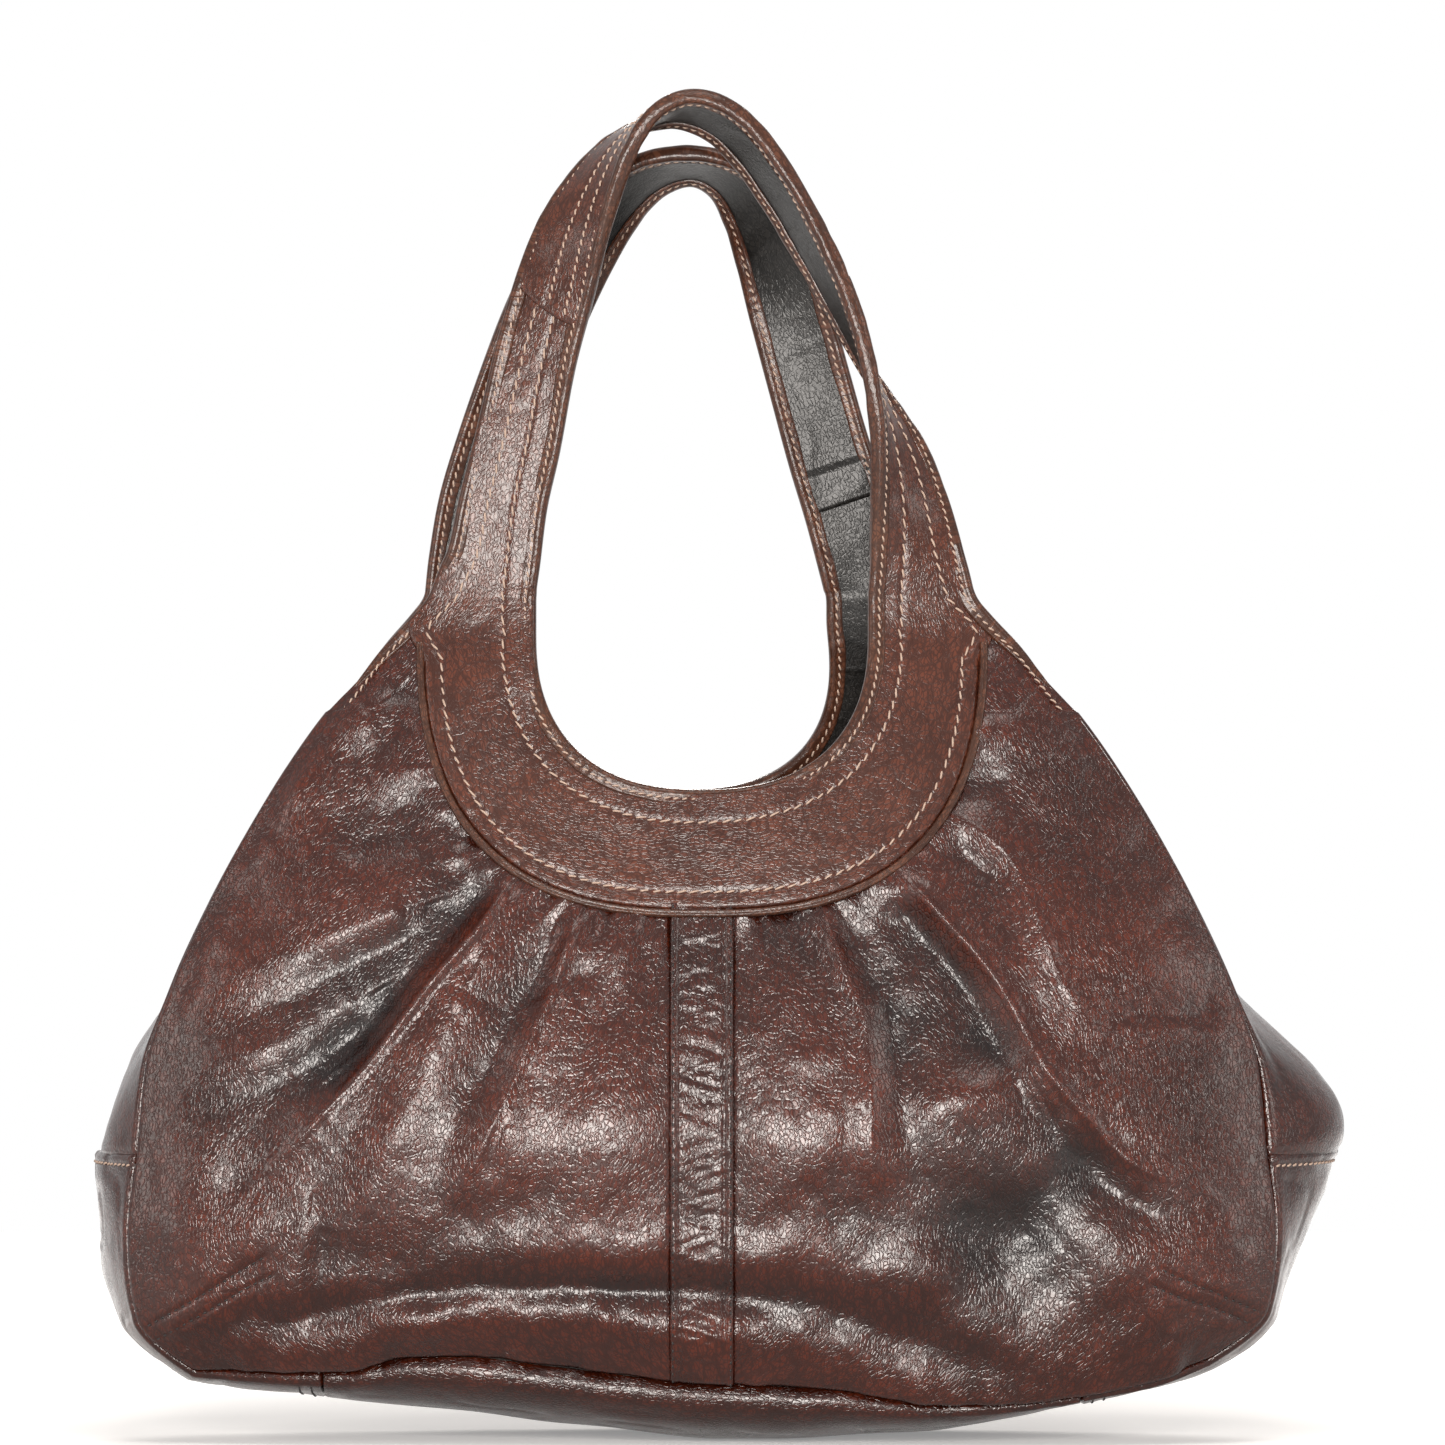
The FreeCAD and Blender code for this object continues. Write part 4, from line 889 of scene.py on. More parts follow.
def make_piping(side):
    """The folded cord of leather round the yoke, seen as two close rolls."""
    word = WORDS[side]
    route, _ = resample(yoke_outline()[8:-8], spacing=0.7)
    x, z = route.T
    normal = sheet_normal(side, x, z)
    line = on_sheet(side, x, z, -0.85)
    ahead = travel(line)
    across = np.cross(ahead, normal)
    angle = np.arange(20) * 2 * math.pi / 20
    lobes = 1.42 - 0.5 * hill(angle - math.pi / 2, 0.32)
    section = np.stack([np.cos(angle), np.sin(angle)], -1) * lobes[:, None]
    along = np.arange(len(line)) * 0.7
    swell = 1 + 0.06 * noise(along, along * 0, (2.6, 9), 31) + 0.06 * noise(along, along * 0, (14, 9), 32)
    section = section[None] * swell[:, None, None]
    piece = build(word + "_piping_leather", "binding_leather", *sweep_arrays(line, across, normal, section))
    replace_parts(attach(piece, "bag"), word + "_piping")


# ---------------------------------------------------------------- the body


def shape_relief(side, x, z):
    """The folds, swellings and bottom roll, which the strip shares with the panels."""
    if side == REAR:
        x = -x * 1.04
    height = np.zeros(x.shape)
    for fold in FRONT_FOLDS:
        height += fold_height(fold, x, z)
    for cx, cz, rx, rz, rise in FRONT_SWELLS:
        height += rise * np.exp(-(((x - cx) / rx) ** 2) - ((z - cz) / rz) ** 2)
    gap, along = beside(ROLL_CREASE, x, z)
    ends = smooth(along / 0.12) * smooth((1 - along) / 0.12)
    ends = ends * (0.7 + 0.6 * noise(x, z, (31, 90), 5))
    height += ends * (-2.5 * hill(gap + 0.5, 6.0) + 1.2 * hill(gap - 13, 9))
    roll = hill(gap + 14, 8.5)
    pucker = 0.7 * noise(x + 0.3 * z, z, (6.5, 40), 6) + 0.7 * noise(x - 0.2 * z, z, (15, 50), 7)
    height += ends * roll * (2.2 + pucker)
    for route in CORNER_ROWS:
        height -= 0.6 * hill(beside(route, x, z)[0], 0.9)
    return height


def skin_relief(side, x, z, out):
    """The panels' gathers and wrinkles; out is the distance from the yoke's seam."""
    seed = 10 if side == FRONT else 40
    around = np.arctan2(z - 225, x) * 95
    height = noise(around, out, (5.5, 40), seed) * np.exp(-out / 16) * 0.9
    height += noise(around, out, (11, 60), seed + 1) * np.exp(-out / 45) * 1.5
    taut = 1 - 0.75 * np.exp(-(((x + 36) / 30) ** 2) - ((z - 103) / 40) ** 2)
    height += (1.3 * noise(x, z, 34, seed + 2) + 0.4 * noise(x, z, 15, seed + 3)) * taut
    turned, risen = 0.8 * x + 0.6 * z, 0.8 * z - 0.6 * x
    height += (0.36 * noise(turned, risen, (21, 9), seed + 4) + 0.13 * noise(risen, turned, (9, 4), seed + 5)) * taut
    height += 0.06 * noise(turned, risen, (3.4, 2.1), seed + 7)
    bottom = hill(z - base_seam, 9)
    return height + 0.9 * bottom * noise(x, z, (6, 30), seed + 8)


def edge_roll(distance, radius):
    """How far a leather edge rounds away within radius of its seam."""
    t = np.clip(1 - distance / radius, 0, 1)
    return radius * (1 - np.sqrt(1 - 0.98 * t * t))


def panel_edge(z):
    """Half the width of a body panel at height z."""
    return np.where(z < gusset_top, BODY["half"](z), shoulder_edge(z))


def relief_on(side, x, z):
    """The whole relief of a panel at x and z."""
    outline = yoke_outline()[::15]
    out = np.abs(beside(outline, x, z)[0])
    size = bpy.context.scene.bag_sizes.fold_depth
    calm = 0.15 + 0.85 * smooth(out / 16)
    side_calm = smooth((panel_edge(z) - np.abs(x)) / 12)
    height = (shape_relief(side, x, z) * calm + skin_relief(side, x, z, out)) * size
    height *= 0.12 + 0.88 * side_calm
    if side == REAR:
        # The zip inside holds the leather out level
        held = smooth((16 - np.abs(z - zip_level)) / 8) * smooth((88 - np.abs(x)) / 8)
        height += held * np.maximum(-height, 0)
    return height


def make_panels(side):
    """The two pleated body panels."""
    word = WORDS[side]
    step = 0.8 if side == FRONT else 1.5
    z = np.arange(base_seam, 273.5, step)
    for hand, label in ((-1, "left"), (1, "right")):
        columns = int(185 / step)
        share = np.linspace(0, 1, columns)
        edge = panel_edge(z) - np.where(z > 243, 1.6, 0)
        x = hand * (strip_half - 2.5 + (edge - strip_half + 2.5)[:, None] * share)
        zs = np.broadcast_to(z[:, None], x.shape)
        base = on_sheet(side, x, zs)
        normal = normals_of(base)
        normal *= np.sign(normal[..., 1:2].mean() * side)
        height = relief_on(side, x, zs)
        height -= edge_roll(np.where(zs < 243, edge[:, None] - np.abs(x), 9), 1.8)
        height -= edge_roll(zs - base_seam, 1.6)
        height -= 0.5 * smooth((strip_half + 0.6 - np.abs(x)) / 1.0)
        points = base + normal * height[..., None]
        keep = ~within_yoke(x, zs, 92.2) & ~((zs >= yoke_top) & (np.abs(x) < 90))
        # The panel's relief height also paints shade into its folds and light onto its ridges
        piece = sheet(
            f"{word}_panel_{label}_leather", "brown_leather", points, leather, (0, side, 0), keep, False, height,
            lay_out(base),
        )
        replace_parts(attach(piece, "bag"), f"{word}_panel_{label}")
    rows = []
    for route in CORNER_ROWS:
        x, z = resample(np.array(route, float), spacing=0.8)[0].T
        normal = sheet_normal(side, x, z)
        line = on_sheet(side, x, z) + normal * relief_on(side, x, z)[:, None]
        rows.append(stitch_arrays(line, normal, 2.7, 1.6, 0.28, 0, 0.1))
    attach(merged(word + "_corner_stitches", "dark_thread", rows), "bag")


def make_strip(side):
    """The raised strip down the middle, with its turned and stitched edges."""
    word = WORDS[side]
    z = np.arange(base_seam, 180, 0.6)
    x = np.linspace(-strip_half, strip_half, 42)
    xs, zs = np.meshgrid(x, z)
    base = on_sheet(side, xs, zs)
    normal = sheet_normal(side, xs, zs)
    size = bpy.context.scene.bag_sizes.fold_depth
    out = np.abs(zs - 176)
    height = shape_relief(side, xs, zs) * size * (0.15 + 0.85 * smooth(out / 16))
    height += 1.3 * size * noise(xs, zs, 34, (10 if side == FRONT else 40) + 2)
    rise = 1.15 - edge_roll(strip_half - np.abs(xs), 1.2) + 0.35 * np.exp(-(((np.abs(xs) - 9.0) / 0.8) ** 2))
    rise -= 0.35 * np.exp(-(((np.abs(xs) - 7.4) / 0.6) ** 2))
    tilted = zs + 0.25 * xs + 1.2 * noise(xs, zs, (9, 14), 64)
    wrinkle = 0.22 * noise(xs, tilted, (13, 2.3), 61) + 0.16 * noise(xs, zs - 0.3 * xs, (8, 1.7), 62)
    wrinkle += 0.16 * creases(xs, tilted, (24, 7), 63, 0.3)
    height += rise + wrinkle * smooth((strip_half - np.abs(xs)) / 3)
    height -= edge_roll(zs - base_seam, 1.6)
    points = base + normal * height[..., None]
    # The strip's height, lowered by 1.1, sets its painted shade in creases and at its turned edges and painted light on
    # its top
    piece = sheet(
        word + "_strip_leather", "brown_leather", points, leather + 0.6, (0, side, 0), back=False,
        relief=height - 1.1, uv=np.stack([xs, zs], -1),
    )
    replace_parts(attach(piece, "bag"), word + "_strip")
    rows = []
    for share in (0.055, 0.945):
        line, face = lane(points, normal, share)
        rows.append(stitch_arrays(line, face, 2.8, 1.5, 0.26, 0, 0.0))
    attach(merged(word + "_strip_stitches", "dark_thread", rows), "bag")


def on_side(hand, q, z, inset=0.0):
    """Points of a side gusset: q is the share of the half depth, from -1 at the front seam to 1 at the rear."""
    half = BODY["half"](z) - inset
    bulge = BODY["bulge"](z) + SAG[hand](z)
    front, rear = place_x(FRONT, hand * half, z), place_x(REAR, hand * half, z)
    x = front + (rear - front) * (q + 1) / 2 + hand * bulge * (1 - q * q)
    return np.stack(np.broadcast_arrays(x, q * (BODY["seam"](z) - inset * 0.5), z + 0 * q), -1)


def make_upper_gusset(hand, label):
    z = np.arange(gusset_seam - 1.6, gusset_top - 1.0, 1.2)
    q = np.linspace(-1, 1, 56)
    qs, zs = np.meshgrid(q, z)
    base = on_side(hand, qs, zs)
    normal = normals_of(base)
    normal *= np.sign((normal[..., 0:1] * hand).mean())
    y = base[..., 1]
    height = 1.2 * noise(y, zs, (22, 34), 101 + hand) + 0.4 * creases(y, zs, (12, 26), 103 + hand)
    height -= 2.2 * hill(qs, 0.3) * smooth((zs - 150) / 40)
    height += 0.12 * noise(y, zs, 4, 105)
    gap = (1 - np.abs(qs)) * BODY["seam"](zs)
    height = height * smooth(gap / 8) - edge_roll(gap, 1.6) - 0.5 * smooth((gusset_seam + 1.5 - zs) / 2)
    points = base + normal * height[..., None]
    # Half the gusset's height sets its painted shade in hollows and painted light on its rises
    piece = sheet(
        f"gusset_upper_{label}_leather", "brown_leather", points, leather, (hand, 0, 0), relief=height * 0.5,
        uv=np.stack([y, zs], -1),
    )
    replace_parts(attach(piece, "bag"), "gusset_upper_" + label)


def floor_section(x, q, inset):
    """Height of the rounded base at x along the bag and q across it, and its half depth there."""
    level = base_seam + 0 * x
    seam_z = np.where(q > 0, settle(REAR, x, level), settle(FRONT, x, level))
    low_z = underside(x) + inset
    return low_z + (seam_z - low_z) * rounded(q), depth(x, level) - inset


def rounded(q):
    """The base's curve across the bag, from 0 in the middle to 1 at its seams."""
    return 1 - (1 - np.abs(q) ** base_roundness) ** (1 / base_roundness)


def lower_gusset_grid(hand, inset=0.0):
    """The end of the base and the lower side as one grid, from the base panel's seam up to the gusset's."""
    q = np.linspace(-1, 1, 64)
    x = np.linspace(base_half + 0.4, base_end, 34)[:, None]
    z = np.linspace(base_seam, gusset_seam - 0.4, 72)[:, None]
    height, reach = floor_section(hand * x, q, inset)
    swell = 4 * smooth((x - base_half) / (base_end - base_half)) * (1 - q * q)
    low = np.stack(np.broadcast_arrays(hand * (x + swell), q * reach, height), -1)
    ease = 1 - smooth((z - base_seam) / settle_height)
    end = hand * base_end
    seam_z = z + np.where(q > 0, SEAM_LINE[REAR](end), SEAM_LINE[FRONT](end)) * ease - base_seam * ease
    mid_z = z + (underside(end) - base_seam) * ease
    straighter = smooth((z - base_seam) / 30)
    share = rounded(q) * (1 - straighter) + q * q * straighter
    point = on_side(hand, q[None] + 0 * z, z + 0 * q, inset)
    high = np.stack([point[..., 0], point[..., 1], mid_z + (seam_z - mid_z) * share], -1)
    return np.concatenate([low, high[1:]]), q


def make_lower_gusset(hand, label):
    base, q = lower_gusset_grid(hand)
    normal = normals_of(base)
    normal *= np.sign((normal[-20:, :, 0:1] * hand).mean())
    uv = lay_out(base)
    y, v = uv[..., 0], uv[..., 1]
    height = 0.9 * noise(y, v, (24, 30), 111 + hand) + 0.5 * creases(y, v, (16, 22), 113 + hand)
    height += 0.12 * noise(y, v, 4, 115)
    gap = (1 - np.abs(q))[None] * np.abs(base[:, -1:, 1])
    top = v[-1:, :1] - v
    height = height * smooth(gap / 8) - edge_roll(gap, 1.6) - edge_roll(top, 1.4) + 0.6 * hill(top - 2.2, 1.2)
    height -= edge_roll(v, 1.2)
    points = base + normal * height[..., None]
    # Half the gusset's height sets its painted shade in hollows and painted light on its rises
    piece = sheet(
        f"gusset_lower_{label}_leather", "brown_leather", points, leather, (hand, 0, 0), relief=height * 0.5, uv=uv
    )
    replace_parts(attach(piece, "bag"), "gusset_lower_" + label)
    row = len(points) - 5
    line, face = points[row, 1:-1], normal[row, 1:-1]
    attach(build(f"gusset_stitches_{label}", "thread", *stitch_arrays(line, face)), "bag")
    dark = []
    for k in (3, 6):
        dark.append(stitch_arrays(points[k, 2:-2], normal[k, 2:-2], 3.0, 1.8, 0.28, 0, 0.05))
    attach(merged(f"base_end_stitches_{label}", "dark_thread", dark), "bag")


def base_grid(inset=0.0, half=base_half):
    """The base between its ends as a grid, and the shares across it."""
    x = np.linspace(-half, half, 150)[:, None]
    q = np.linspace(-1, 1, 84)
    height, reach = floor_section(x, q, inset)
    return np.stack(np.broadcast_arrays(x + 0 * q, q * reach, height), -1), q


def make_base():
    base, q = base_grid()
    normal = normals_of(base)
    normal *= -np.sign(normal[..., 2:3].mean())
    uv = lay_out(base)
    x, y = base[..., 0], uv[..., 0]
    gap = (1 - np.abs(q))[None] * 60
    height = 0.5 * noise(x, y, (26, 20), 121) + 0.35 * creases(x, y, (22, 12), 122)
    height += 0.5 * noise(x, y, (8, 14), 123) * np.exp(-gap / 8)
    height = height * smooth(base[..., 2] / 4) - edge_roll(gap, 1.4)
    points = base + normal * height[..., None]
    points[..., 2] = np.maximum(points[..., 2], 0.0)
    # Half the base's height, lowered by 0.4, sets its painted shade, a little darker all over, and painted light on its
    # rises
    piece = sheet("base_leather", "brown_leather", points, leather, (0, 0, -1), relief=height * 0.5 - 0.4, uv=uv)
    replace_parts(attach(piece, "bag"), "base_panel")
    board_x = np.linspace(-95, 95, 60)[:, None]
    board_y = np.linspace(-29, 29, 20)
    lift = underside(board_x) + leather + layer_gap + 0.4
    top = np.stack(np.broadcast_arrays(board_x + 0 * board_y, board_y + 0 * board_x, lift + 2.2 + 0 * board_y), -1)
    board = sheet("base_board_flexed", "stiffener_board", top, 2.2, (0, 0, 1))
    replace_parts(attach(board, "bag"), "base_board")


def make_gusset_binding(hand, label):
    """The binding over the top edge of a side."""
    q = np.linspace(-0.86, 0.86, 60)
    line = on_side(hand, q, gusset_top + 0 * q, leather / 2)
    below = on_side(hand, q, gusset_top - 5 + 0 * q, leather / 2)
    inward = unit(below - line)
    ahead = travel(line)
    face = np.cross(ahead, inward)
    face *= np.sign(face[:, :1] * hand)
    line, across, out, along = frame_along(line, inward, face)
    parts = sweep_arrays(line, across, out, binding_section(len(line), along, leather, 5.0))
    piece = build(f"gusset_binding_{label}_leather", "binding_leather", *parts)
    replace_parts(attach(piece, "bag"), "gusset_binding_" + label)
    rows = [
        stitch_arrays(line + across * 3.4 + out * 1.25 * turn, out * turn, radius=0.3, lift=0.2) for turn in (1, -1)
    ]
    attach(merged(f"gusset_binding_stitches_{label}", "thread", rows), "bag")


# ---------------------------------------------------------------- inside


def make_lining(side):
    """A side's lining, dented where the leather outside folds in."""
    word = WORDS[side]
    z = np.arange(base_seam, 243.1, 2.0)
    half = BODY["half"](z)[:, None] - 3.6
    xs = np.clip(np.arange(-160, 161, 2.0)[None], -half, half)
    zs = np.broadcast_to(z[:, None], xs.shape)
    base = on_sheet(side, xs, zs, sandwich + layer_gap)
    normal = sheet_normal(side, xs, zs)
    dent = np.minimum(relief_on(side, xs, zs), 0) - 0.25 * np.abs(noise(xs, zs, (14, 22), 131))
    points = base + normal * dent[..., None]
    keep = ~within_yoke(xs, zs, 88.0)
    if side == REAR:
        # The slot that the zip's tapes fill
        keep &= ~((np.abs(xs) < zip_half - 0.1) & (np.abs(zs - zip_level) < 4.9))
    piece = sheet(word + "_lining_cloth", "lining_fabric", points, 0.6, (0, side, 0), keep, True)
    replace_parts(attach(piece, "bag"), "lining_" + word)
    route, _ = resample(yoke_outline(-5.6)[60:-60], spacing=1.5)
    hem_x, hem_z = route.T
    ok = hem_z < 243
    hem_x, hem_z = hem_x[ok], hem_z[ok]
    line = on_sheet(side, hem_x, hem_z, sandwich + 0.9)
    line = line + sheet_normal(side, hem_x, hem_z) * np.minimum(relief_on(side, hem_x, hem_z), 0)[:, None]
    ahead = travel(line)
    out = -sheet_normal(side, hem_x, hem_z)
    hem = sweep_arrays(line, np.cross(ahead, out), out, circle(1.0) * (1.7, 0.8))
    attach(build(word + "_lining_hem", "lining_fabric", *hem), "bag")


def make_lining_ends():
    """The lining of the two sides and the floor."""
    for hand, label in ((-1, "left"), (1, "right")):
        q = np.linspace(-0.93, 0.93, 40)
        z = np.arange(gusset_seam - 2, 237, 3.0)
        qs, zs = np.meshgrid(q, z)
        high = on_side(hand, qs, zs, 3.6)
        low, _ = lower_gusset_grid(hand, 3.6)
        low = low[:, 3:-3][30:]
        parts = [sheet_arrays(high, 0.6, (-hand, 0, 0)), sheet_arrays(low, 0.6, (-hand, 0, 0))]
        piece = merged(f"lining_side_{label}_cloth", "lining_fabric", parts)
        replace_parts(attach(piece, "bag"), "lining_side_" + label)
    floor, q = base_grid(4.6, 160)
    floor[..., 2] += 0.3 * np.abs(noise(floor[..., 0], floor[..., 1], (20, 14), 141))
    piece = sheet("lining_floor_cloth", "lining_fabric", floor, 0.6, (0, 0, 1))
    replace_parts(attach(piece, "bag"), "lining_floor")


def make_pockets():
    """The two open slip pockets on the front lining, and the pouch behind the zip."""
    for name, hand in (("phone_pocket", -1), ("slip_pocket", 1)):
        z = np.arange(45, 118.1, 1.5)
        x = hand * np.linspace(8, 92, 60)
        xs, zs = np.meshgrid(x, z)
        across = np.abs(xs) / 42 - 50 / 42
        gape = 11.0 * (1 - across**4) * smooth((zs - 45) / 60)
        hem = 0.5 * smooth((zs - 107) / 1.0)
        dent = np.minimum(relief_on(FRONT, xs, zs), 0) * (1 - smooth(gape / 6))
        base = on_sheet(FRONT, xs, zs, lining_face + 0.3 + 0.8 + gape + hem - dent)
        base[..., 2] -= 1.2 * (1 - across**2) * smooth((zs - 90) / 28)
        piece = sheet(name + "_cloth", "lining_fabric", base, 0.8, (0, 1, 0))
        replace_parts(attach(piece, "bag"), name)
    z = np.arange(48, 152, 4.0)
    xs, zs = np.meshgrid(np.arange(-85, 86, 5.0), z)
    dent = np.minimum(relief_on(REAR, xs, zs), 0)
    pouch = on_sheet(REAR, xs, zs, leather + 0.25 - dent)
    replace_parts(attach(sheet("zip_pouch_cloth", "lining_fabric", pouch, 0.6, (0, 1, 0)), "bag"), "zip_pocket_bag")


def make_zip():
    """The tapes; the metal parts keep their own shapes and take their finish here."""
    for name, low, high in (("lower", -4.8, -0.3), ("upper", 0.3, 4.8)):
        xs, zs = np.meshgrid(np.linspace(-zip_half, zip_half, 150), zip_level + np.linspace(low, high, 8))
        points = on_sheet(REAR, xs, zs, sandwich + layer_gap + 0.6)
        piece = sheet(f"zip_tape_{name}_cloth", "zip_tape", points, 0.6, (0, -1, 0))
        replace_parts(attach(piece, "bag"), "zip_tape_" + name)
    for name in ("zip_teeth_lower", "zip_teeth_upper", "zip_stops", "zip_slider", "zip_pull"):
        paint(name, "zip_metal")
    for name in ("front_snap_half", "rear_snap_half"):
        paint(name, "snap_metal")


def paint(node_name, slot):
    """Gives a CAD node's own object a better finish."""
    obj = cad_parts[node_name]
    obj.data.materials.clear()
    obj.data.materials.append(material(slot))


def make_tabs():
    """The two tabs that carry the magnetic snap, with rounded edges and a stitched border."""
    for side in (FRONT, REAR):
        word = WORDS[side]
        low, high = (Vector(c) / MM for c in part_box(word + "_snap_tab"))
        centre_y = (low.y + high.y) / 2
        rounding, square = 9.0, 1.0
        corners = (
            (high.x - rounding, low.z + rounding, rounding), (high.x - square, high.z - square, square),
            (low.x + square, high.z - square, square), (low.x + rounding, low.z + rounding, rounding),
        )
        outline = []
        for quarter, (cx, cz, radius) in enumerate(corners):
            for k in range(9):
                a = math.radians(90 * (quarter - 1) + 90 * k / 8)
                outline.append((cx + radius * math.cos(a), cz + radius * math.sin(a)))
        outline = np.array(outline)
        middle = outline.mean(axis=0)
        rings = []
        edge = ((0.0, 0.4), (0.04, 1.0), (0.16, 1.28), (0.55, 1.3))
        for shrink, y in [(share, -y) for share, y in edge[::-1]] + list(edge):
            toward = middle + (outline - middle) * (1 - shrink * 0.6)
            rings.append(np.stack([toward[:, 0], centre_y + y + 0 * toward[:, 0], toward[:, 1]], -1))
        rings = np.array(rings)
        index = np.arange(rings.shape[0] * rings.shape[1]).reshape(rings.shape[:2])
        faces = tube_faces(index)
        n = rings.shape[1]
        ends = (index[0], index[-1][::-1])
        caps = [
            [ring[k], ring[k + 1], ring[n - 2 - k], ring[n - 1 - k]] for ring in ends for k in range(n // 2 - 1)
        ]
        faces = np.concatenate([faces, np.array(caps)])
        vertices = rings.reshape(-1, 3)
        flat = np.zeros(len(vertices))
        piece = build(word + "_tab_leather", "dark_leather", vertices, faces, vertices[:, [0, 2]], flat)
        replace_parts(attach(piece, word + "_tab"), word + "_snap_tab")
        closed = middle + (outline - middle) * 0.86
        rows = []
        for turn in (-1, 1):
            line = np.stack([closed[:, 0], centre_y + 1.3 * turn + 0 * closed[:, 0], closed[:, 1]], -1)
            rows.append(stitch_arrays(line, np.array([[0.0, turn, 0.0]] * len(line)), closed=True))
        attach(merged(word + "_tab_stitches", "thread", rows), word + "_tab")


# ---------------------------------------------------------------- finishes


def linear(code):
    """Scene-linear RGBA of an sRGB hex colour."""
    parts = [int(code[i : i + 2], 16) / 255 for i in (1, 3, 5)]
    return (*(c / 12.92 if c <= 0.04045 else ((c + 0.055) / 1.055) ** 2.4 for c in parts), 1.0)


def node(tree, kind, settings=None, **inputs):
    """Adds a shader node, sets its properties, and sets or links its inputs (given by name, _ for a space)."""
    made = tree.nodes.new(kind)
    for key, value in (settings or {}).items():
        setattr(made, key, value)
    for key, value in inputs.items():
        socket = made.inputs[int(key[1:])] if key[1:].isdigit() else made.inputs[key.replace("_", " ")]
        if isinstance(value, bpy.types.NodeSocket):
            tree.links.new(value, socket)
        else:
            socket.default_value = value
    return made


def start_material(name):
    made = bpy.data.materials.new(name)
    made.use_nodes = True
    made.node_tree.nodes.clear()
    return made, made.node_tree


def finish_material(tree, shader):
    node(tree, "ShaderNodeOutputMaterial", Surface=shader.outputs[0])


def leather_look(name, dark, light, rough, grain, crease, coat, spread=0.35):
    """Glazed, drum-dyed leather: pebbled grain and creases under a thin glossy finish, with random lighter patches,
    painted shade in the folds and painted light on the ridges.
    """
    made, tree = start_material(name)
    uv = node(tree, "ShaderNodeUVMap", {"uv_map": "leather"})
    sizes = bpy.context.scene.bag_sizes
    wander = node(tree, "ShaderNodeTexNoise", Vector=uv.outputs[0], Scale=0.09, Detail=3.0, Roughness=0.6)
    bent = node(
        tree, "ShaderNodeVectorMath", {"operation": "MULTIPLY_ADD"}, _0=wander.outputs["Color"], _1=(5.0, 5.0, 0.0),
        _2=uv.outputs[0],
    )
    long_grain = node(
        tree, "ShaderNodeVectorMath", {"operation": "MULTIPLY"}, _0=bent.outputs[0], _1=(1.0, 0.55, 1.0)
    )
    # Pebbles about a millimetre across, then creases several times as far apart
    pebble = node(
        tree, "ShaderNodeTexVoronoi", {"feature": "DISTANCE_TO_EDGE"}, Vector=long_grain.outputs[0],
        Scale=1 / sizes.grain_size, Randomness=1.0,
    )
    eased = {"interpolation_type": "SMOOTHSTEP"}
    pebbles = node(tree, "ShaderNodeMapRange", eased, Value=pebble.outputs[0], From_Max=0.2)
    fold = node(
        tree, "ShaderNodeTexVoronoi", {"feature": "DISTANCE_TO_EDGE"}, Vector=long_grain.outputs[0],
        Scale=0.3 / sizes.grain_size, Randomness=1.0,
    )
    folds = node(tree, "ShaderNodeMapRange", eased, Value=fold.outputs[0], From_Max=0.16)
    fine = node(tree, "ShaderNodeTexNoise", Vector=uv.outputs[0], Scale=1.6, Detail=3.0, Roughness=0.6)
    patch = node(tree, "ShaderNodeTexNoise", Vector=uv.outputs[0], Scale=0.035, Detail=3.0, Roughness=0.55)
    patches = node(tree, "ShaderNodeMapRange", Value=patch.outputs[0], From_Min=0.35, From_Max=0.68)
    # The grain's furrows are darker in colour; from the relief attribute, the folds get painted shade and the ridges
    # painted light
    relief = node(tree, "ShaderNodeAttribute", {"attribute_name": "relief"})
    painted_shade_and_tarnish = node(tree, "ShaderNodeMapRange", eased, Value=relief.outputs["Fac"], From_Min=-6.0, From_Max=6.0)
    share = node(
        tree, "ShaderNodeMath", {"operation": "MULTIPLY_ADD", "use_clamp": True}, _0=patches.outputs[0], _1=spread,
        _2=painted_shade_and_tarnish.outputs[0],
    )
    lower = node(
        tree, "ShaderNodeMath", {"operation": "SUBTRACT", "use_clamp": True}, _0=share.outputs[0], _1=spread * 0.5
    )
    body = node(tree, "ShaderNodeMix", {"data_type": "RGBA"}, _0=lower.outputs[0], _6=dark, _7=light)
    grooves = node(tree, "ShaderNodeMath", {"operation": "MULTIPLY"}, _0=pebbles.outputs[0], _1=folds.outputs[0])
    groove_mix = node(tree, "ShaderNodeMapRange", Value=grooves.outputs[0], To_Min=0.42, To_Max=1.0)
    colour = node(tree, "ShaderNodeMix", {"data_type": "RGBA", "blend_type": "MULTIPLY"}, _0=1.0, _6=body.outputs[2],
                  _7=groove_mix.outputs[0])
    # Grain and creases stand in low relief, the finest of it under 0.02 mm
    first = node(tree, "ShaderNodeBump", Strength=1.0, Distance=0.000014 * crease, Height=folds.outputs[0])
    second = node(tree, "ShaderNodeBump", Strength=1.0, Distance=0.000055 * grain, Height=pebbles.outputs[0],
                  Normal=first.outputs[0])
    third = node(tree, "ShaderNodeBump", Strength=1.0, Distance=0.000012 * grain, Height=fine.outputs[0],
                 Normal=second.outputs[0])
    gloss = node(tree, "ShaderNodeMapRange", Value=patch.outputs[0], From_Min=0.3, From_Max=0.7, To_Min=rough - 0.05,
                 To_Max=rough + 0.06)
    skin = node(
        tree, "ShaderNodeBsdfPrincipled", Base_Color=colour.outputs[2], Roughness=gloss.outputs[0],
        Specular_IOR_Level=0.1, Coat_Weight=coat, Coat_Roughness=0.2, Normal=third.outputs[0],
        Coat_Normal=second.outputs[0],
    )
    finish_material(tree, skin)
    return made


